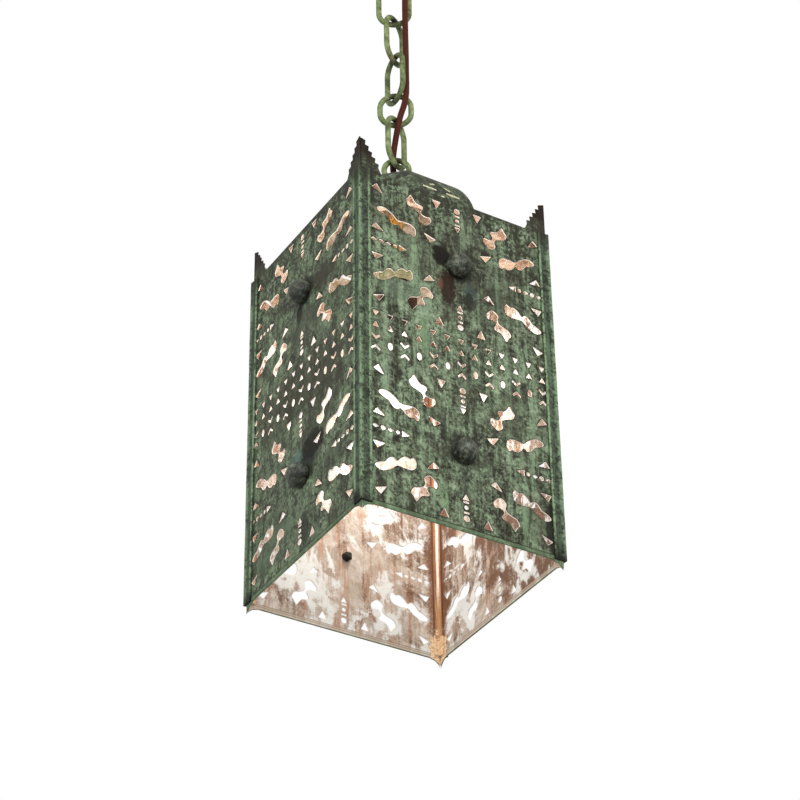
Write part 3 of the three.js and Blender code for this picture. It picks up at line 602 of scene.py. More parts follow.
def lit_glass(name):
    """Frosted glass of the lit lamp: brightest in its globe."""
    s = Surface(name, bump=0.05, relief=0.0001)
    frost = s.noise(900, 3, 0.5)
    globe = s.band(s.level(), 0.296, 0.262)
    glow = s.band(globe, 0, 1, 1.2, 1.8) * s.band(frost, 0, 1, 0.95, 1.05)
    s.feed(s.shader.inputs["Emission Color"], s.mix(globe, "fff0dc", "fffcf7"))
    s.feed(s.shader.inputs["Emission Strength"], glow)
    return s.finish(s.mix(frost, "efe6da", "fffaf2"), s.band(frost, 0, 1, 0.25, 0.4), frost)


# Stains of each sheet: round the knobs, under them, and pale runs down from the upper slots. The left sheet
# also has a band of painted shade beside its far corner strip.
FRONT_STAINS = (
    (3, 301, 19, 18, "1d1b16", 0.9), (-17, 309, 11, 13, "14100c", 0.95), (-11, 272, 9, 22, "2c1c14", 0.92),
    (-19, 275, 4, 8, "6b4638", 0.8), (16, 276, 8, 13, "3f4c48", 0.8), (14, 264, 5, 12, "20211c", 0.85),
    (13, 318, 8, 9, "26241d", 0.75), (0, 86, 17, 18, "22241e", 0.75), (3, 36, 4, 40, "24261f", 0.85),
    (-20, 36, 4, 46, "7c986f", 0.8), (-48, 294, 3.6, 40, "8faa86", 0.8), (47, 292, 2.4, 34, "849d7c", 0.75),
    (-38, 204, 5, 34, "75906c", 0.7), (66, 36, 3, 34, "7c9672", 0.7), (98, 34, 8, 30, "171510", 0.85),
    (-88, 232, 2.4, 26, "2a2922", 0.85), (60, 196, 4, 60, "2f3029", 0.6), (25, 190, 3, 46, "2d2e27", 0.6),
    (42, 262, 30, 30, "3c3f33", 0.4), (96, 320, 10, 44, "2c2c24", 0.5), (-60, 250, 30, 18, "788a70", 0.35))
LEFT_STAINS_AND_SHADE = (
    (0, 299, 18, 17, "1a1b17", 0.85), (-10, 280, 6, 12, "12110e", 0.92), (36, 298, 36, 13, "3a372c", 0.8),
    (4, 262, 40, 20, "43443a", 0.6), (18, 112, 22, 16, "1d1912", 0.95), (4, 92, 19, 16, "1e211e", 0.85),
    (0, 190, 96, 34, "3a362c", 0.72), (30, 140, 28, 22, "38372e", 0.6), (-14, 112, 12, 9, "5a756b", 0.6),
    (4, 24, 9, 22, "25251f", 0.8), (60, 75, 26, 14, "3a3c34", 0.5), (-60, 40, 40, 24, "65795f", 0.4),
    # A dark band along the far corner strip: painted shade in the recess beside the strip, with dark patina.
    (-101, 190, 5, 190, "1b1b16", 0.8))
PLAIN_STAINS = (
    (2, 302, 18, 18, "22201a", 0.85), (-6, 272, 10, 28, "2b2019", 0.85), (-2, 88, 18, 18, "272821", 0.7),
    (6, 42, 5, 42, "262720", 0.7), (-50, 285, 4, 45, "849e7b", 0.75), (52, 60, 4, 38, "7c9672", 0.7))
OUTER = [aged_sheet(f"verdigris_sheet_{side}", stains_and_shade, seed, runs) for side, stains_and_shade, seed, runs in (
    ("front", FRONT_STAINS, 0.0, 1.0), ("right", PLAIN_STAINS, 0.9, 1.0), ("back", PLAIN_STAINS, 1.9, 1.0),
    ("left", LEFT_STAINS_AND_SHADE, 3.1, 0.45))]
ROOF = aged_sheet("verdigris_roof", dim=0.85)
INNER = bare_inside("copper_inside")
EDGE = cut_edge("sawn_edge")
STRIP = strip_metal("verdigris_strip")
COPPER = copper_strip("copper_angle")
SAGE = sage_metal("sage_casting")
KNOB = knob_metal("dark_casting")
CORD = cord_cover("braided_cover")
BOOT = moulded("dark_rubber", "24100c", "431d16", 0.55)
BROWN = moulded("brown_moulding", "221813", "3a2a21", 0.4)
CERAMIC = moulded("white_porcelain", "d9d2c5", "f1ece2", 0.25)
ENAMEL = moulded("pale_green_enamel", "8b9a72", "d6d8b8", 0.4)
BRASS = turned_metal("worn_brass", "7d6431", "c2a463")
AMBER = turned_metal("lacquered_brass", "eab04e", "ffd88a", 0.2, 0.3)
STEEL = turned_metal("black_steel", "1a1512", "3a3029", 0.5, 0.5)
GLASS = lit_glass("lit_frosted_glass")


# ---------------------------------------------------------------- cord
# Places to the side, to the rear and over the lantern's lower edge, seen along the round link's face.
CORD_ROUTE = (
    (12.5, -7.6, 784.7), (12.5, -7.6, 777), (12.4, -7.7, 762), (12.2, -7.8, 742), (12, -7.8, 722),
    (11.9, -7.6, 702), (11.9, -7.2, 682), (12, -7, 662), (12, -7, 644), (11.9, -7.2, 627),
    (11.9, -6.9, 611), (11.3, -6.9, 597), (9, -7.2, 583), (5.2, -7.3, 569), (2.4, -5.9, 556),
    (0.2, -2.6, 544), (-2, 2, 532), (-3.4, 6.2, 521), (-3.6, 9.6, 510), (-2.4, 12, 500),
    (-0.9, 13.2, 491.6), (-0.2, 13.5, 486), (0, 13.5, 480.9))
CORD_RADIUS = 3.25
CORD_CUTS = (-103.3, -157.3, -212.3, -256.3, -301.3)


def smooth_route(points, steps=10):
    """Centripetal Catmull-Rom curve through the points."""
    result = []
    ends = [2 * points[0] - points[1], *points, 2 * points[-1] - points[-2]]
    for i in range(1, len(ends) - 2):
        p0, p1, p2, p3 = ends[i - 1 : i + 3]
        d0, d1, d2 = (p1 - p0).length ** 0.5, (p2 - p1).length ** 0.5, (p3 - p2).length ** 0.5
        m1 = ((p1 - p0) / d0 - (p2 - p0) / (d0 + d1) + (p2 - p1) / d1) * d1
        m2 = ((p2 - p1) / d1 - (p3 - p1) / (d1 + d2) + (p3 - p2) / d2) * d1
        for k in range(steps):
            t = k / steps
            result.append(p1 + m1 * t + (-3 * p1 + 3 * p2 - 2 * m1 - m2) * t**2
                          + (2 * p1 - 2 * p2 + m1 + m2) * t**3)
    return [*result, points[-1]]


def make_cord():
    """The cord in six lengths end to end, one for each hinge, because a length can follow two bodies."""
    route = smooth_route([place(*p) for p in CORD_ROUTE])
    levels = [route[0].z + 1, *CORD_CUTS, route[-1].z - 1]
    for index, (high, low) in enumerate(zip(levels, levels[1:])):
        points = []
        for a, b in zip(route, route[1:]):
            for level in (high, low):
                if a.z >= level > b.z:
                    points.append(a.lerp(b, (a.z - level) / (a.z - b.z)))
            if low < b.z < high:
                points.append(b)
        points.sort(key=lambda p: -p.z)
        if index == 0:
            points.insert(0, route[0])
        verts, faces, uvs = tube(points, CORD_RADIUS, 20)
        obj = outward(new_object(f"supply_cord_{index + 1}", verts, faces, [CORD], 60, uvs=uvs))
        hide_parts("cord")
        path = [p * MM for p in points]
        length = sum((b - a).length for a, b in zip(path, path[1:]))
        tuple(path[0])
        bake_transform(obj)


# ---------------------------------------------------------------- flat outlines
def sides_of(ring):
    return zip(ring, ring[1:] + ring[:1])


def trios(ring):
    """Each point of a ring between its two neighbours."""
    return zip(ring[-1:] + ring[:-1], ring, ring[1:] + ring[:1])


def area(ring):
    return 0.5 * sum(a[0] * b[1] - b[0] * a[1] for a, b in sides_of(ring))


def turned_way(ring, positive):
    return ring if (area(ring) > 0) == positive else ring[::-1]


def inset(ring, depth):
    """The ring moved to its left, where the sheet is, with mitred corners."""
    result = []
    for p, q, r in trios(ring):
        ux, uy = q[0] - p[0], q[1] - p[1]
        vx, vy = r[0] - q[0], r[1] - q[1]
        ul, vl = math.hypot(ux, uy), math.hypot(vx, vy)
        n1, n2 = (-uy / ul, ux / ul), (-vy / vl, vx / vl)
        mx, my = n1[0] + n2[0], n1[1] + n2[1]
        ml = math.hypot(mx, my) or 1.0
        scale = depth / max((n1[0] * mx + n1[1] * my) / ml, 0.55)
        result.append((q[0] + mx / ml * scale, q[1] + my / ml * scale))
    return result


def rounded(ring, cut=0.45):
    """Sharp corners eased, as a saw and a file leave them."""
    result = []
    for p, q, r in trios([Vector(p) for p in ring]):
        a = q + (p - q).normalized() * min(cut, (p - q).length * 0.35)
        b = q + (r - q).normalized() * min(cut, (r - q).length * 0.35)
        result += [tuple(a), tuple((a + b + q * 1.2) / 3.2), tuple(b)]
    return result


def curved(ring, steps):
    """Closed Catmull-Rom curve through a ring of points."""
    result = []
    count = len(ring)
    for i in range(count):
        p0, p1, p2, p3 = (Vector(ring[(i + k) % count]) for k in (-1, 0, 1, 2))
        for k in range(steps):
            t = k / steps
            result.append(tuple(0.5 * (2 * p1 + (p2 - p0) * t + (2 * p0 - 5 * p1 + 4 * p2 - p3) * t**2
                                       + (3 * p1 - p0 - 3 * p2 + p3) * t**3)))
    return result


def polygon(radius, sides, cx=0.0, cy=0.0, turn=0.0, stretch=1.0):
    return [(cx + radius * math.cos(turn + 2 * math.pi * k / sides),
             cy + radius * stretch * math.sin(turn + 2 * math.pi * k / sides)) for k in range(sides)]


def octagon(inradius):
    return polygon(inradius / math.cos(math.pi / 8), 8, turn=math.pi / 8)


def within(points, ring):
    """Which of the points lie inside the ring."""
    x, y = points[:, 0], points[:, 1]
    inside = np.zeros(len(points), bool)
    for (x1, y1), (x2, y2) in sides_of(ring):
        if y1 != y2:
            crosses = (y1 > y) != (y2 > y)
            inside ^= crosses & (x < (x2 - x1) * (y - y1) / (y2 - y1) + x1)
    return inside


def near_ring(points, ring, gap):
    close = np.zeros(len(points), bool)
    for a, b in sides_of(np.array(ring).tolist()):
        a, b = np.array(a), np.array(b)
        d = b - a
        t = np.clip(((points - a) @ d) / max(d @ d, 1e-12), 0, 1)
        close |= np.hypot(*(points - a - t[:, None] * d).T) < gap
    return close


def on_sheet(points, rings, edge_gap=0.0, hole_gap=0.0):
    """Which of the points lie on the sheet, clear of its outline and its holes."""
    free = within(points, rings[0])
    if edge_gap:
        free &= ~near_ring(points, rings[0], edge_gap)
    for hole in rings[1:]:
        box = np.array(hole)
        inside_box = (points > box.min(0) - hole_gap) & (points < box.max(0) + hole_gap)
        zone = free & np.all(inside_box, axis=1)
        if zone.any():
            taken = within(points[zone], hole)
            if hole_gap:
                taken |= near_ring(points[zone], hole, hole_gap)
            free[zone] &= ~taken
    return free


def pierced(outline, holes, spacing, chamfer):
    """Triangles of a pierced flat sheet. Each rim point also has its place on the saw cut, a chamfer
    further out, and the border is the sheet's own rim."""
    rings = [turned_way(outline, True), *[turned_way(h, False) for h in holes]]
    points, edges, rims = [], [], {}
    for ring in rings:
        start, count = len(points), len(ring)
        rims.update(zip(range(start, start + count), ring))
        points += inset(ring, chamfer)
        edges += [(start + i, start + (i + 1) % count) for i in range(count)]
    xs, ys = zip(*rings[0])
    grid, row, y = [], 0, min(ys) + spacing / 2
    while y < max(ys):
        x = min(xs) + spacing * (0.5 if row % 2 else 1.0)
        while x < max(xs):
            grid.append((x, y))
            x += spacing
        y += spacing * 0.87
        row += 1
    grid = np.array(grid)
    grid = grid[on_sheet(grid, rings, spacing * 0.4, spacing * 0.4)]
    collar = [p for ring in rings[1:] for p in inset(ring, chamfer + 1.2)]
    if collar:
        collar = np.array(collar)
        points += [tuple(p) for p in collar[on_sheet(collar, rings, 0.6, chamfer + 0.8)]]
    points += [tuple(p) for p in grid]
    out = delaunay_2d_cdt([Vector(p) for p in points], edges, [], 0, 1e-6)
    spots, faces = [tuple(v) for v in out[0]], [list(f) for f in out[2]]
    middles = np.array([[sum(spots[i][k] for i in f) / 3 for k in (0, 1)] for f in faces])
    good = on_sheet(middles, [inset(ring, chamfer) for ring in rings])
    faces = [f if area([spots[i] for i in f]) > 0 else f[::-1] for f, g in zip(faces, good) if g]
    cut_places, border = {}, set()
    for index, sources in enumerate(out[3]):
        for source in sources:
            if source in rims:
                cut_places[index] = rims[source]
                if source < len(outline):
                    border.add(index)
    return spots, faces, cut_places, border


def open_sides(faces):
    """The faces' sides that no other face has, in order."""
    edges = {side for face in faces for side in sides_of(face)}
    return sorted(e for e in edges if (e[1], e[0]) not in edges)


def sheet_mesh(outline, holes, spacing, chamfer, to_space):
    """A pierced sheet with eased cut edges. to_space(x, y, side) gives a point, side 0 outside to 1 inside.
    Face materials: 0 outside and the sheet's own rim, 1 inside, 2 cut edge. The last result is how near
    each point is to a cut."""
    spots, faces, cuts, border = pierced(outline, holes, spacing, chamfer)
    verts, uvs = [], []
    depth = chamfer / SHEET
    used = sorted({i for f in faces for i in f})
    outer, inner, upper, lower = {}, {}, {}, {}
    skins, cut = {i: spots[i] for i in used}, {i: cuts[i] for i in used if i in cuts}
    for table, side, places in (
            (outer, 0.0, skins), (inner, 1.0, skins), (upper, depth, cut), (lower, 1 - depth, cut)):
        for i, (x, y) in places.items():
            table[i] = len(verts)
            verts.append(to_space(x, y, side))
            uvs.append((x * MM, y * MM))
    result = [[outer[i] for i in f] for f in faces] + [[inner[i] for i in f[::-1]] for f in faces]
    indices = [0] * len(faces) + [1] * len(faces)
    for a, b in open_sides(faces):
        if a in cuts and b in cuts:
            result += [[high[b], high[a], low[a], low[b]]
                       for high, low in ((outer, upper), (upper, lower), (lower, inner))]
            indices += [0 if a in border and b in border else 2] * 3
    rim = [0.0] * len(verts)
    for i, number in outer.items():
        rim[number] = 1.0 if i in cuts and i not in border else 0.0
    slots = np.array([p for hole in holes if abs(area(hole)) > 60 for p in hole])
    if len(slots):
        for i, number in inner.items():
            rim[number] = math.exp(-float(np.hypot(*(slots - spots[i]).T).min()) / 7)
    return verts, result, uvs, indices, rim


# ---------------------------------------------------------------- pattern of the sheets
# Slots of the upper right quarter of a tile, from the knob's middle.
OUTER_SLOT = (
    (47.5, 26.7), (48.8, 30.8), (53.3, 33.8), (60.8, 34.0), (67.5, 33.5), (72.5, 38.0), (79.2, 42.2),
    (85, 43.3), (90, 41), (90.2, 37.8), (84.6, 34.2), (80, 32.4), (76.2, 27.4), (71.5, 25.4),
    (67.4, 27.9), (63.8, 23.6), (58.5, 20.4), (54.2, 21.6), (50.6, 19.2), (48, 22))
INNER_SLOT = (
    (29.8, 46.2), (31.6, 51), (35.6, 50.2), (40, 51.4), (41.2, 54.6), (39, 58.6), (40.4, 61.8), (46.6, 63.2),
    (50.2, 67.6), (53, 71), (56, 66.4), (58.6, 62.6), (55.8, 57), (50.4, 54.8), (45.4, 52.6), (43.4, 48.8),
    (44.6, 43.6), (41, 39.6), (37.2, 38.8), (33.2, 41.6))
# Triangles of an upper and of a lower quarter.
QUARTER_PIECES = {
    True: ([(19, 75), (28, 75), (23.5, 66.2)], [(90.5, 69.2), (95.5, 64), (84.5, 59.4)],
           [(91.9, 20.4), (96.2, 14.5), (84, 13.4)], [(25.5, 25.5), (38.3, 29.3), (32, 20.4)]),
    False: ([(19, 75), (28, 75), (23.5, 66.2)], [(89.5, 72), (95.3, 67.2), (83.6, 62.9)],
            [(92.5, 23.4), (96.6, 16.3), (84.3, 16.4)], [(33.7, 20.4), (28.3, 25.4), (40, 29)])}
BELT_PITCH, BELT_COLUMNS = 15.5, 13
BELT_TRIANGLES = ((215.2, 209.6), (197.1, 202.7))  # levels of base and tip
BELT_CHEVRONS = ((183.4, 1), (175.4, -1))
CHEVRON = ((-4.6, 3.4), (0, -0.8), (4.6, 3.4), (4.0, 5.0), (0, 1.7), (-4.0, 5.0))
BELT_OVAL, OVAL_LEVEL, OVAL_STRETCH = 2.4, 179.3, 4.1 / 2.4


def tile_quarter(up):
    reach, tuck = (0, 0) if up else (4.5, 2.4)
    slots = [[(x + reach, z + reach * 0.7) for x, z in OUTER_SLOT], [(x, z - tuck) for x, z in INNER_SLOT]]
    slots = [inset(turned_way(curved(slot, 3), True), 0.45) for slot in slots]
    return slots + [rounded(piece) for piece in QUARTER_PIECES[up]]


def slat(cx, cy, length, height, tilt=0.0, ease=0.45):
    """A straight cut with eased corners."""
    c, s, x, y = math.cos(tilt), math.sin(tilt), length / 2, height / 2
    return rounded([(cx + u * c - v * s, cy + u * s + v * c)
                    for u, v in ((-x, -y), (x, -y), (x, y), (-x, y))], ease)


def tile_cuts(level):
    column = [rounded([(-3.2, 50.6), (3.2, 50.6), (0, 44.6)]), slat(0, 53, 5.4, 1.6),
              polygon(2.1, 8, 0, 58.7), slat(0, 64.4, 5.4, 1.6), polygon(3.1, 12, 0, 70.6)]
    row = [rounded([(58.5, 0), (66.5, 3.2), (66.5, -3.2)]), polygon(1.9, 8, 71, 0),
           rounded([(75.6, 0), (78.6, 1.9), (81.6, 0), (78.6, -1.9)]), polygon(2.4, 8, 86.2, 0),
           rounded([(91, 0), (94.6, 2), (97.4, 0), (94.6, -2)])]
    cuts = []
    for side in (1, -1):
        cuts += [[(x * side, z) for x, z in ring] for ring in tile_quarter(True) + row]
        cuts += [[(x * side, -z) for x, z in ring] for ring in tile_quarter(False)]
        cuts += [[(x, z * side) for x, z in ring] for ring in column]
    return [[(x, z + level) for x, z in ring] for ring in cuts]


def belt_cuts():
    cuts = []
    for k in range(BELT_COLUMNS):
        x = (k - BELT_COLUMNS // 2) * BELT_PITCH
        cuts += [rounded([(x - 3.1, base), (x + 3.1, base), (x, tip)]) for base, tip in BELT_TRIANGLES]
        if k % 2 == 0:
            cuts += [rounded([(x + dx, level + way * dz) for dx, dz in CHEVRON], 0.3)
                     for level, way in BELT_CHEVRONS]
        else:
            cuts.append(polygon(BELT_OVAL, 14, x, OVAL_LEVEL, 0, OVAL_STRETCH))
    return cuts


SPIRE_STEPS, SPIRE_RISE = 5, 39


def spire_edge():
    """The stepped edge of a half spire: distance from the corner and height over the shoulder."""
    edge = [(24.5, 0), (21.3, 6.5)]
    for k in range(SPIRE_STEPS):
        out, level = 21.9 - k * 3.7, 11.3 + k * 6.2
        edge.append((out, level))
        if k < SPIRE_STEPS - 1:
            edge.append((out - 4.5, level + 0.7))
    return edge


def sheet_outline():
    """The sheet's outline: hollow points below both corners, half spires above them. The left edge
    stands clear of the next sheet."""
    left, right = -HALF + SHEET + SEAT, HALF
    edge = spire_edge()
    hollow = [(14, 0), (6.3, -2.34), (2.52, -5.58)]
    ring = [(left, -8.1), *[(-HALF + x, z) for x, z in hollow[::-1]], *[(HALF - x, z) for x, z in hollow],
            (right, -9), (right, HIGH + SPIRE_RISE), *[(right - x, HIGH + z) for x, z in edge[::-1]],
            *[(-HALF + x, HIGH + z) for x, z in edge], (left, HIGH + SPIRE_RISE - SHEET)]
    fine = []
    for a, b in sides_of(rounded(ring, 0.6)):
        parts = int(math.hypot(b[0] - a[0], b[1] - a[1]) / 7) + 1
        fine += [(a[0] + (b[0] - a[0]) * k / parts, a[1] + (b[1] - a[1]) * k / parts) for k in range(parts)]
    return fine


def calm(x, z):
    """How far a spot is from what holds the sheet flat, from 0 to 1."""
    free = min(1.0, (HALF - 16 - abs(x)) / 18, (z - 8) / 18, (HIGH - 10 - z) / 18)
    return max(0.0, min(free, *[(math.hypot(x, z - level) - 15) / 15 for level in TILES]))


# How far each sheet's pattern sits off the middle, across and up: the sheets are pierced by hand.
OFFSETS = ((2.6, 0.0), (-1.6, -0.4), (2.2, -0.4), (-5.2, 2.0))
STUD_HOLE = 3.3


def make_sheets():
    outline = sheet_outline()
    studs = [polygon(STUD_HOLE, 20, 0, level) for level in TILES]
    pattern = tile_cuts(TILES[0]) + tile_cuts(TILES[1]) + belt_cuts()
    for index, (side, (across, up)) in enumerate(zip(SIDES, OFFSETS)):
        turn = Matrix.Rotation(index * math.pi / 2, 3, "Z")
        cuts = [[(x + across * (1 - 0.55 * (x / 100) ** 2), z + up) for x, z in ring] for ring in pattern]

        def to_space(x, z, depth, turn=turn, index=index):
            wave = 0.35 * calm(x, z) * noise.noise(Vector((x * 0.021, z * 0.017, index * 5.3)))
            return turn @ Vector((x, -HALF + SHEET * depth + wave, z - DROP))

        verts, faces, uvs, indices, rim = sheet_mesh(outline, cuts + studs, 6.0, 0.32, to_space)
        hem_verts, hem_faces, hem_uvs = hem_band(to_space)
        verts, faces = joined((verts, faces), (hem_verts, hem_faces))
        obj = new_object(f"pierced_sheet_{side}", verts, faces, [OUTER[index], INNER, EDGE], 40,
                         indices + [0] * len(hem_faces), uvs + hem_uvs, ("rim", rim + [0.0] * len(hem_verts)))
        assign(obj, "verdigris", f"panel_{side}")


HEM_SECTION = (
    (0.0, 4.0), (-0.55, 3.8), (-0.8, 3.2), (-0.8, 0.8), (-0.5, 0.1), (0.0, -0.1), (0.6, 0.0), (0.6, 4.0))


def hem_band(to_space, steps=40):
    """The folded lower edge, a flat roll on the outer face between the strips."""
    reach = HALF - 11.3
    verts, uvs = [], []
    for i in range(steps + 1):
        x = -reach + 2 * reach * i / steps
        for y, z in HEM_SECTION:
            lump = 0.12 * noise.noise(Vector((x * 0.09, z * 0.3, 2.0))) if y < 0 else 0.0
            verts.append(to_space(x, z, (y + lump) / SHEET))
            uvs.append((x * MM, z * MM))
    return verts, sweep(steps + 1, len(HEM_SECTION)), uvs


STRIP_SHEET, STRIP_FOOT = 1.3, 0.6


def make_strips(steps=64):
    """Corner strips: an L with a rounded bead along each free edge and a raised ridge on the corner.
    Each point of the section has the weight with which it is raised."""
    face = -SEAT - STRIP_SHEET
    bead = [math.pi * k / 8 for k in range(1, 8)]
    leg = [((10.5, -SEAT), 0), ((10.5, face + 0.2), 0),
           *[((9.2 + 1.3 * math.cos(a), face - 0.8 * math.sin(a)), 1) for a in bead],
           ((7.75, face + 0.05), 0), ((5, face), 0), ((2.4, face), 0), ((1.0, face - 0.05), 0.3),
           ((-0.4, face - 0.32), 0.7), ((-1.5, face - 0.62), 1)]
    section = [((-SEAT, -SEAT), 0), *leg, ((-2.2, -2.2), 1), *[((y, x), w) for (x, y), w in leg[::-1]]]
    for index, corner in enumerate(CORNERS):
        turn = Matrix.Rotation(index * math.pi / 2, 3, "Z")
        verts, raised = [], []
        for i in range(steps + 1):
            z = STRIP_FOOT + (HIGH - STRIP_FOOT) * i / steps
            for (x, y), weight in section:
                lump = 0.16 * noise.noise(Vector((x * 0.3, y * 0.3 + index * 4, z * 0.05))) * weight
                dx, dy = (lump if y > x else 0), (lump if x >= y else 0)
                verts.append(turn @ Vector((x - HALF - dx, y - HALF - dy, z - DROP)))
                raised.append(weight)
        obj = new_object(f"beaded_strip_{corner}", verts, sweep(steps + 1, len(section)), [STRIP], 40,
                         attribute=("raised", raised))
        assign(outward(obj), "verdigris", f"corner_strip_{corner}")


def hex_nut(flats, low, high, bore, count=48):
    """A chamfered hexagon nut about Z with a round bore. A radius of 0 stands for the hexagon."""
    half, verts = flats / 2, []
    for radius, z in ((bore, low), (half * 0.98, low), (0, low + 0.5), (0, high - 0.6), (half * 0.98, high),
                      (bore, high)):
        for k in range(count):
            a = 2 * math.pi * k / count
            r = radius or half / math.cos((a + math.pi / 6) % (math.pi / 3) - math.pi / 6)
            verts.append((r * math.cos(a), r * math.sin(a), z))
    return verts, sweep(6, count, closed=True)


KNOB_RADIUS, KNOB_CENTRE, KNOB_GROOVES = 12.5, 4.5, (1.72, 2.45)
STUD, STUD_ROOT, STUD_REACH = 2.8, 2.5, 8
NUT_FLATS, NUT_HIGH = 9, 4


def make_knobs():
    """Round knobs with two turned grooves, a threaded stud through the sheet and a nut inside."""
    start = math.acos((KNOB_CENTRE - SEAT) / KNOB_RADIUS)
    ball = [(0.0, -SEAT), (KNOB_RADIUS * math.sin(start) - 0.7, -SEAT)]
    for k in range(29):
        angle = start + (math.pi - start) * k / 28
        r = KNOB_RADIUS - sum(0.28 * math.exp(-(((angle - groove) / 0.045) ** 2)) for groove in KNOB_GROOVES)
        r -= 0.25 if k == 0 else 0
        ball.append((max(r * math.sin(angle), 0.0), -KNOB_CENTRE + r * math.cos(angle)))
    ball[-1] = (0.0, -KNOB_CENTRE - KNOB_RADIUS)
    end = SHEET + STUD_REACH
    stud = [(0.0, -SEAT), (STUD, -SEAT),
            *[(STUD if k % 2 else STUD_ROOT, -SEAT + 0.45 * (k + 0.5)) for k in range(20)],
            (2.6, end - 0.3), (0.0, end)]
    tip = Matrix.Rotation(-math.pi / 2, 4, "X")
    nut_low = SHEET + SEAT
    for index, side in enumerate(SIDES):
        for level, where in zip(TILES, ("upper", "lower")):
            roll = Matrix.Rotation(index * 0.9 + level, 4, "Z")
            nut = moved(hex_nut(NUT_FLATS, nut_low, nut_low + NUT_HIGH, STUD_ROOT), roll)
            spot = Matrix.Translation((0, -HALF, level - DROP)) @ tip
            spot = Matrix.Rotation(index * math.pi / 2, 4, "Z") @ spot
            verts, faces = moved(joined(lathe(ball, 48), lathe(stud, 20), nut), spot)
            indices = [int(i >= len(faces) - len(nut[1])) for i in range(len(faces))]
            obj = outward(new_object(f"round_knob_{side}_{where}", verts, faces, [KNOB, STEEL], 40, indices))
            assign(obj, "dark_knob", f"knob_{side}_{where}")


# ---------------------------------------------------------------- roof
def dome_profile():
    """Arc from the foot to the crown, as arrays of distance along, inradius and height over the shoulder."""
    points = [(DOME_IN, -DOME_SHEET + SEAT)]
    for degrees in (2, 4, 7, 10, *range(13, 75, 3)):
        a = math.radians(degrees)
        points.append((DOME_IN * math.cos(a) ** DOME_WAIST, DOME_RISE * math.sin(a) ** DOME_BELLY))
    points += [(39.5, 72.8), (34.5, 74.2), (29.5, 75.2), (DOME_CAP, DOME_RISE)]
    runs = [0.0]
    for a, b in zip(points, points[1:]):
        runs.append(runs[-1] + math.hypot(b[0] - a[0], b[1] - a[1]))
    return np.array(runs), *(np.array(values) for values in zip(*points))


# Slots of a gore: distance off its middle, level, length, height and tilt.
DOME_SLOTS = ((13.5, 28, 16, 2.8, 0.0), (9, 36.5, 7.5, 2.4, -0.5))


def make_dome():
    """Eight gores with slots low in their sides, closed by a crown and standing on a flange."""
    runs, radii, heights = dome_profile()
    total = runs[-1]
    slope = math.tan(math.pi / 8)

    def at(s):
        return float(np.interp(s, runs, radii)), float(np.interp(s, runs, heights))

    def along(level):
        return float(np.interp(level, heights, runs))

    holes = [polygon(2.2, 12, 0, along(19.6))]
    for side in (-1, 1):
        holes += [slat(side * off, along(level), length, height, side * tilt, 0.9)
                  for off, level, length, height, tilt in DOME_SLOTS]
    rights = [(at(s)[0] * slope, s) for s in (total * k / 26 for k in range(27))]
    high = [(rights[-1][0] * (1 - 2 * k / 5), total) for k in range(1, 5)]
    low = [(rights[0][0] * (2 * k / 12 - 1), 0.0) for k in range(1, 12)]
    outline = [*rights, *high, *[(-x, s) for x, s in rights[::-1]], *low]
    spots, faces, _, _ = pierced(outline, holes, 5.0, 0.0001)
    rims = open_sides(faces)
    verts, result, indices = [], [], []
    for gore in range(8):
        turn = Matrix.Rotation(gore * math.pi / 4, 3, "Z")
        for layer in (0, 1):
            base = len(verts)
            for x, s in spots:
                r, z = at(s)
                r2, z2 = at(s + 1) if s + 1 <= total else (r - 1, z + 0.05)
                depth = DOME_SHEET * layer / math.hypot(z2 - z, r - r2)
                r_in, z_in = r - depth * (z2 - z), z - depth * (r - r2)
                verts.append(turn @ Vector((x * r_in / r, -r_in, HIGH + z_in - DROP)))
            result += [[i + base for i in (f[::-1] if layer else f)] for f in faces]
            indices += [layer] * len(faces)
        outer, inner = base - len(spots), base
        for a, b in rims:
            x, s = (spots[a][0] + spots[b][0]) / 2, (spots[a][1] + spots[b][1]) / 2
            seam = abs(abs(x) - at(s)[0] * slope) < 0.4
            if not seam or s < 0.01 or s > total - 0.01:
                result.append([outer + b, outer + a, inner + a, inner + b])
                indices.append(2)
    obj = new_object("eight_sided_dome", verts, result, [ROOF, INNER, EDGE], None, indices)
    reworked(obj, lambda work: bmesh.ops.remove_doubles(work, verts=work.verts, dist=2e-5))
    shade(obj.data, 28)
    assign(obj, "verdigris", "roof_dome")

    boot = place(*LOWER_BOOT)
    screws = [polygon(1.9, 12, x, y) for x, y in polygon(DOME_IN + DOME_FLANGE / 2 + 0.4, 4)]
    foot = DECK_TOP + SEAT + DOME_SHEET
    for name, top, outline, holes, spacing, chamfer in (
            ("dome_crown", DOME_TOP, octagon(DOME_CAP), [polygon(5.4, 24), polygon(5.3, 20, boot.x, boot.y)],
             5.0, 0.1),
            ("dome_flange", foot, octagon(DOME_IN + DOME_FLANGE), [octagon(DOME_IN - DOME_SHEET), *screws],
             6.0, 0.15)):
        verts, faces, _, indices, _ = sheet_mesh(
            outline, holes, spacing, chamfer,
            lambda x, y, d, top=top: Vector((x, y, top - DROP - DOME_SHEET * d)))
        assign(new_object(name, verts, faces, [ROOF, INNER, EDGE], 30, indices), "verdigris")


# ---------------------------------------------------------------- chain and castings
def cast(name, *parts):
    """Several overlapping shapes melted into one casting with soft inner corners."""
    obj = outward(new_object(name, *joined(*parts), [SAGE], None))
    remesh = obj.modifiers.new("melt", "REMESH")
    remesh.mode, remesh.voxel_size, remesh.use_smooth_shade = "VOXEL", 0.55 * MM, True
    soften = obj.modifiers.new("soften", "SMOOTH")
    soften.factor, soften.iterations = 0.5, 6
    return baked(obj, 50)


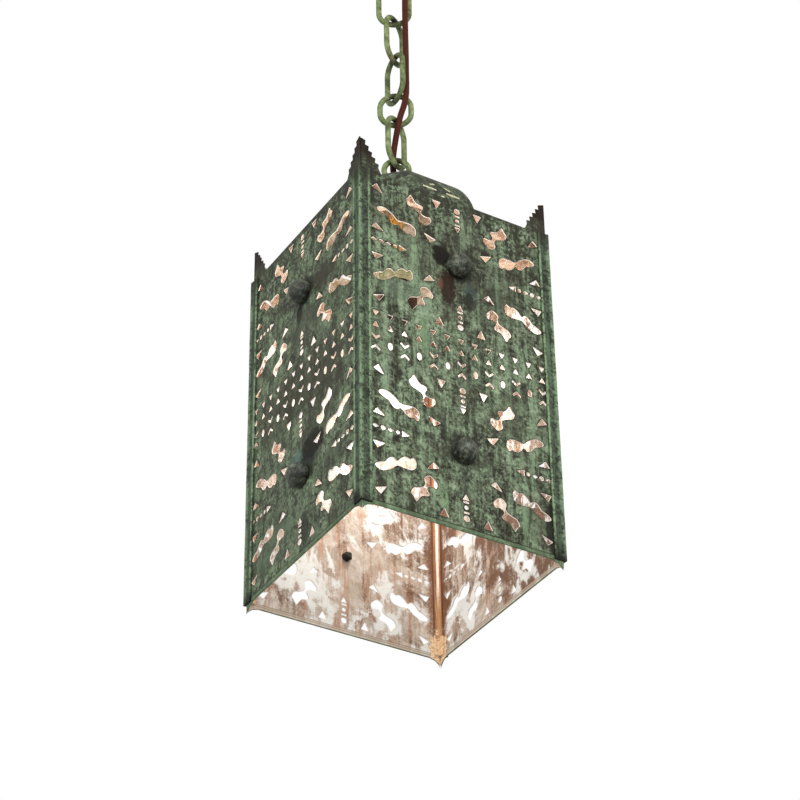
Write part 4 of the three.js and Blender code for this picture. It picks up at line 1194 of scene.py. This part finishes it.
def loop_path(width, pitch, steps=20, straights=6):
    """Middle line of a bent wire link in the XZ plane, round its centre."""
    bend = (width - WIRE) / 2
    straight = max(pitch + WIRE - 2 * bend, 0) / 2
    points = []
    for way, start in ((1, 0.0), (-1, math.pi)):
        for k in range(steps + 1):
            a = start + math.pi * k / steps
            points.append(Vector((bend * math.cos(a), 0, way * straight + bend * math.sin(a))))
        if straight > 0.5:
            x = bend * math.cos(start + math.pi)
            points += [Vector((x, 0, way * straight * (1 - 2 * k / straights))) for k in range(1, straights)]
    return [p for i, p in enumerate(points) if (p - points[i - 1]).length > 0.01]


def link_matrix(turn, centre):
    return Matrix.Translation((0, 0, centre)) @ Matrix.Rotation(FACING + math.radians(turn), 4, "Z")


def make_chain():
    """Four long links and a round one, each with a weld on one side and slightly uneven wire."""
    for index, (pitch, turn) in enumerate(((54.5, 0), (54.5, 60), (54.5, 120), (34.5, 0), (54.5, 60))):
        path = loop_path(LINK_WIDTH, pitch + LINK_PLAY)
        seam = len(path) * 3 // 4

        def swell(i, seam=seam, index=index):
            weld = 0.05 * math.exp(-(((i - seam) / 0.7) ** 2))
            return 1.0 + weld + 0.018 * noise.noise(Vector((i * 0.5, index * 3.1, 0.0)))

        link = tube(path, WIRE / 2, 20, closed=True, swell=swell)[:2]
        matrix = link_matrix(turn, (CONTACTS[index] + CONTACTS[index + 1]) / 2)
        turned(f"oval_link_{index + 1}", moved(link, matrix), SAGE, 60, "pale_verdigris",
               f"chain_link_{index + 1}", f"link_{index + 1}")


def make_loops():
    """The lantern's ring on its shank with the collar under it, and the canopy's ring."""
    wire = tube(loop_path(RING_WIDTH, RING_PITCH, 28), WIRE / 2, 20, closed=True)[:2]
    centre = CONTACTS[-1] + (LINK_PLAY - RING_PITCH) / 2
    washer, nut, thread = 1.5, 5, 8
    low = DOME_TOP - DOME_SHEET - SEAT - washer - nut - thread
    shank = lathe(lifted([(0, low), (5, low), (5, 485.5), (4.2, 488), (0, 489)], -DROP), 32)
    obj = cast("cast_ring", moved(wire, link_matrix(0, centre)), shank)
    assign(obj, "pale_verdigris", "roof_loop")

    profile = [(5.4, 0), (7.7, 0), (8, 0.4), (8, 2.6), (7.6, 3.1), (6.5, 4.2), (6.4, 5), (7.2, 9.6),
               (7.1, 10.4), (6.3, 13.5), (5.9, COLLAR_HIGH), (5.4, COLLAR_HIGH)]
    turned("turned_collar", lathe(lifted(profile, DOME_TOP + SEAT - DROP), 48, closed=True), SAGE, 35,
           "pale_verdigris", "loop_collar")

    ring_inside = RING_WIDTH / 2 - WIRE
    centre = CONTACTS[0] - LINK_PLAY / 2 + ring_inside
    neck_low, neck_top = centre + ring_inside + WIRE * 0.2, CANOPY_LOW - CANOPY_COLLAR - 2 * SEAT
    neck = lathe([(5.4, neck_low + 3), (5.4, neck_top), (7.6, neck_top), (8, neck_top - 0.5),
                  (8, neck_low + 1.2), (7, neck_low), (0, neck_low), (0, neck_low + 3)], 32, closed=True)
    obj = cast("canopy_ring", moved(wire, link_matrix(120, centre)), neck)
    assign(obj, "pale_verdigris", "canopy_loop", body="ceiling_fitting")


def make_boots():
    """Two tapered strain reliefs with grooves, hollow at the tip where the cord goes in."""
    profile = [(0.0, -3), (4.7, -3), (5, -2.6), (5, 4)]
    for k in range(6):
        z = 5.2 + k * 2.8
        r = 5 - (z - 4) / 18
        profile += [(r, z), (r - 0.55, z + 0.5), (r - 0.6, z + 1.1), (r - 0.1, z + 1.6)]
    profile += [(4.05, 21.4), (3.8, 22), (3.35, 22), (3.3, 20), (0.0, 20)]
    for name, node, body, surface, way, spot in (
            ("canopy_strain_relief", "canopy_boot", "ceiling_fitting", CANOPY_LOW, -1, UPPER_BOOT),
            ("roof_strain_relief", "roof_boot", "lantern", DOME_TOP - DROP, 1, LOWER_BOOT)):
        shape = shifted(lathe(lifted(profile, surface, way), 32), place(*spot))
        turned(name, shape, BOOT, 40, "cord_jacket", node, body)


def make_canopy():
    """The spun canopy with the hole for the cord's strain relief, and the collar under it."""
    arc = [math.pi / 2 * k / 16 for k in range(1, 16)]
    outer = [(5.4, 0), (20, 0), (22, 0.02),
             *[(22 + 37 * math.sin(a), 24 * (1 - math.cos(a)) ** 0.8) for a in arc]]
    lip = [(59, -4.4), (59.3, -3.9), (60.6, -3.4), (61.7, -2.8), (62, -2), (61.6, -1.2), (60.8, -1.0),
           (59, -1.0), (57.8, -1.4), (57.4, -3.5)]
    inner = [(22 + 35.6 * math.sin(a), min(CANOPY_LOW + 1.2 + 23.4 * (1 - math.cos(a)) ** 0.8, -3.8))
             for a in arc[::-1]]
    floor = [(21.5, CANOPY_LOW + 1.2), (5.4, CANOPY_LOW + 1.2)]
    profile = lifted(outer, CANOPY_LOW) + lip + inner + floor
    obj = outward(new_object("spun_canopy", *lathe(profile, 96, closed=True), [SAGE]))
    bit = lathe(lifted([(0, -5), (5.3, -5), (5.3, 6), (0, 6)], CANOPY_LOW), 32)
    drill = outward(new_object("drill", *shifted(bit, place(*UPPER_BOOT)), [SAGE]))
    cut = obj.modifiers.new("hole", "BOOLEAN")
    cut.operation, cut.object, cut.solver = "DIFFERENCE", drill, "EXACT"
    baked(obj, 35)
    bpy.data.objects.remove(drill, do_unlink=True)
    assign(obj, "pale_verdigris", "canopy", body="ceiling_fitting")

    profile = [(5.4, 0), (7.8, 0), (8, 0.4), (8.1, 1.4), (8.6, 2.2), (8.6, 5.8), (8.1, 6.6), (8, 7.6),
               (7.8, CANOPY_COLLAR), (5.4, CANOPY_COLLAR)]
    turned("canopy_turned_collar", lathe(lifted(profile, CANOPY_LOW - SEAT, -1), 48, closed=True), SAGE, 35,
           "pale_verdigris", "canopy_collar", "ceiling_fitting")


HOLDER_LOW, HOLDER_TOP, BARREL_DROP, LAMP_NECK = 345.0, 370.0, 60, 289.8


def make_lamp():
    """The lamp holder's cover and barrel, and the bulb."""
    low, top = HOLDER_LOW - DROP, HOLDER_TOP - DROP
    above = [(5.4, -1.6), (5.4, 0), (16.6, 0), (17.8, -0.4), (19.0, -1.4), (19.5, -3)]
    below = [(19.5, 6), (19.2, 5.4), (19.5, 4.8), (19.5, 0.4), (19.2, 0), (17.9, 0)]
    cover = lifted(above, top) + lifted(below, low) + lifted([(17.9, -4), (15.5, -1.6)], top)
    boss = lathe(lifted([(0, -1.2), (4.2, -1.2), (4.2, 1.7), (3.9, 2), (0, 2)], top), 24)
    shape = joined(lathe(cover, 56, closed=True), shifted(boss, place(*LOWER_BOOT)))
    turned("holder_cover", shape, ENAMEL, 35, "pale_verdigris", "holder_cap")

    top, low = low - SEAT, low - BARREL_DROP
    grooves = [(r, -4 - k * 1.3 - z) for k in range(12) for r, z in ((18.9, 0), (18.55, 0.45), (18.9, 0.9))]
    foot = [(18.9, 8), (18.9, 5.6), (18.5, 5), (18.5, 0.8), (17.9, 0), (15.8, 0), (15.3, 0.5),
            (15.3, 2), (17.9, 3)]
    wall = lifted([(17.9, 0), (18.9, 0), *grooves], top) + lifted(foot, low)
    turned("holder_barrel", lathe(wall, 64, closed=True), BROWN, 35, "brown_plastic", "holder_shell")

    outer = [(12, 0), (12.3, -4), (13.3, -11), (15.4, -18), (18.6, -25), (22.6, -32), (26.4, -40),
             (28.9, -48)]
    globe = [math.radians(5 - 95 * k / 16) for k in range(16)]
    outer += [(max(30 * math.cos(a), 0.0), -56 + 30 * math.sin(a)) for a in globe]
    inner = [(max(r - 1, 0.0), z + (1 if r < 8 else 0.35)) for r, z in outer[:0:-1]]
    glass = lifted([*outer, (0.0, -86), *inner, (11, 0)], LAMP_NECK - DROP)
    obj = outward(new_object("frosted_bulb", *lathe(glass, 64, closed=True), [GLASS], 50))
    obj.visible_shadow = False
    assign(obj, "frosted_glass", "lamp_glass")


# ---------------------------------------------------------------- CAD pieces that keep their shape
KEPT = (
    (COPPER, [f"inner_angle_{corner}" for corner in CORNERS]),
    (ROOF, ["roof_deck"]),
    (STEEL, [*[f"roof_screw_{k}" for k in range(1, 5)], "ceiling_plate", "plate_screw_left",
             "plate_screw_right"]),
    (BRASS, ["crown_washer", "lock_nut", "screw_shell", "centre_contact", "lamp_cap", "canopy_nipple"]),
    (AMBER, ["pipe_coupling", "drop_pipe"]),
    (CERAMIC, ["holder_core", "lamp_mount"]),
    (CORD, ["lamp_lead", "canopy_lead"]),
)


def dress_kept():
    for material, nodes in KEPT:
        for node in nodes:
            mesh = frame["nodes"][node].data
            mesh.materials.clear()
            mesh.materials.append(material)
            for face in mesh.polygons:
                face.material_index = 0
    # The deck is weathered above and bare below, like the sheets.
    deck = frame["nodes"]["roof_deck"].data
    deck.materials.append(INNER)
    for face in deck.polygons:
        face.material_index = 0 if face.normal.z > 0.5 else 1


# ---------------------------------------------------------------- room, light and world, in metres
MIDDLE = Vector((0, 0, -0.62))  # of the lantern
GLOW_LEVEL = 234  # of the lit lamp's light, in millimetres over the lantern's lower edge
FLOOR, FLOOR_REACH, FLOOR_DEPTH = -4400, 8500, 20  # in millimetres


def make_light(name, kind, spot, power):
    data = bpy.data.lights.new(name, kind)
    data.energy = power
    obj = linked(name, data)
    obj.location = spot
    return obj


def make_panel(name, spot, size, power):
    """A square area light that faces the middle of the lantern."""
    obj = make_light(name, "AREA", spot, power)
    obj.data.shape, obj.data.size, obj.data.size_y = "RECTANGLE", size, size
    obj.rotation_mode = "QUATERNION"
    obj.rotation_quaternion = (MIDDLE - Vector(spot)).to_track_quat("-Z", "Y")


def make_glow():
    """The light of the lit lamp, from inside its glass. It moves with the lantern."""
    obj = make_light("lamp_glow", "POINT", (0, 0, (GLOW_LEVEL - DROP) * MM), 0.84)
    obj.data.color, obj.data.shadow_soft_size = (1.0, 0.985, 0.96), 0.02
    obj.parent = frame["bodies"]["lantern"]
    obj.matrix_parent_inverse = frame["bodies"]["lantern"].matrix_world.inverted()


def make_world():
    """A white world that lights the lantern less than it shows itself and its reflections."""
    world = bpy.context.scene.world or bpy.data.worlds.new("studio")
    bpy.context.scene.world = world
    world.use_nodes = True
    nodes, links = world.node_tree.nodes, world.node_tree.links
    nodes.clear()
    output, background, path, strength, seen, through = (nodes.new(kind) for kind in (
        "ShaderNodeOutputWorld", "ShaderNodeBackground", "ShaderNodeLightPath", "ShaderNodeMapRange",
        "ShaderNodeMath", "ShaderNodeMath"))
    seen.operation = through.operation = "MAXIMUM"
    strength.inputs["To Min"].default_value = 0.55
    strength.inputs["To Max"].default_value = 1.0
    background.inputs["Color"].default_value = (1, 1, 1, 1)
    for source, target in (
            (path.outputs["Is Camera Ray"], seen.inputs[0]), (path.outputs["Is Glossy Ray"], seen.inputs[1]),
            (seen.outputs[0], through.inputs[0]), (path.outputs["Is Transmission Ray"], through.inputs[1]),
            (through.outputs[0], strength.inputs["Value"]),
            (strength.outputs["Result"], background.inputs["Strength"]),
            (background.outputs[0], output.inputs[0])):
        links.new(source, target)


def make_room():
    s = Surface("pale_floor", bump=0.05)
    tint = s.noise(3, 3, 0.5)
    s.finish(s.ramp(tint, (0.3, (0.78, 0.78, 0.78)), (0.7, (0.82, 0.82, 0.82))), 0.8, tint)
    low = FLOOR - FLOOR_DEPTH
    slab = lathe([(0, FLOOR), (FLOOR_REACH, FLOOR), (FLOOR_REACH, low), (0, low)], 64)
    outward(new_object("studio_floor", *slab, [s.material], 30))
    make_world()
    make_panel("key_light", (-0.35, -2.1, -0.3), 1.0, 26)
    make_panel("fill_light", (-2.2, -0.4, -0.9), 1.2, 12)


make_camera()
make_cord()
make_sheets()
make_strips()
make_knobs()
make_dome()
make_chain()
make_loops()
make_boots()
make_canopy()
make_lamp()
dress_kept()
make_glow()
make_room()
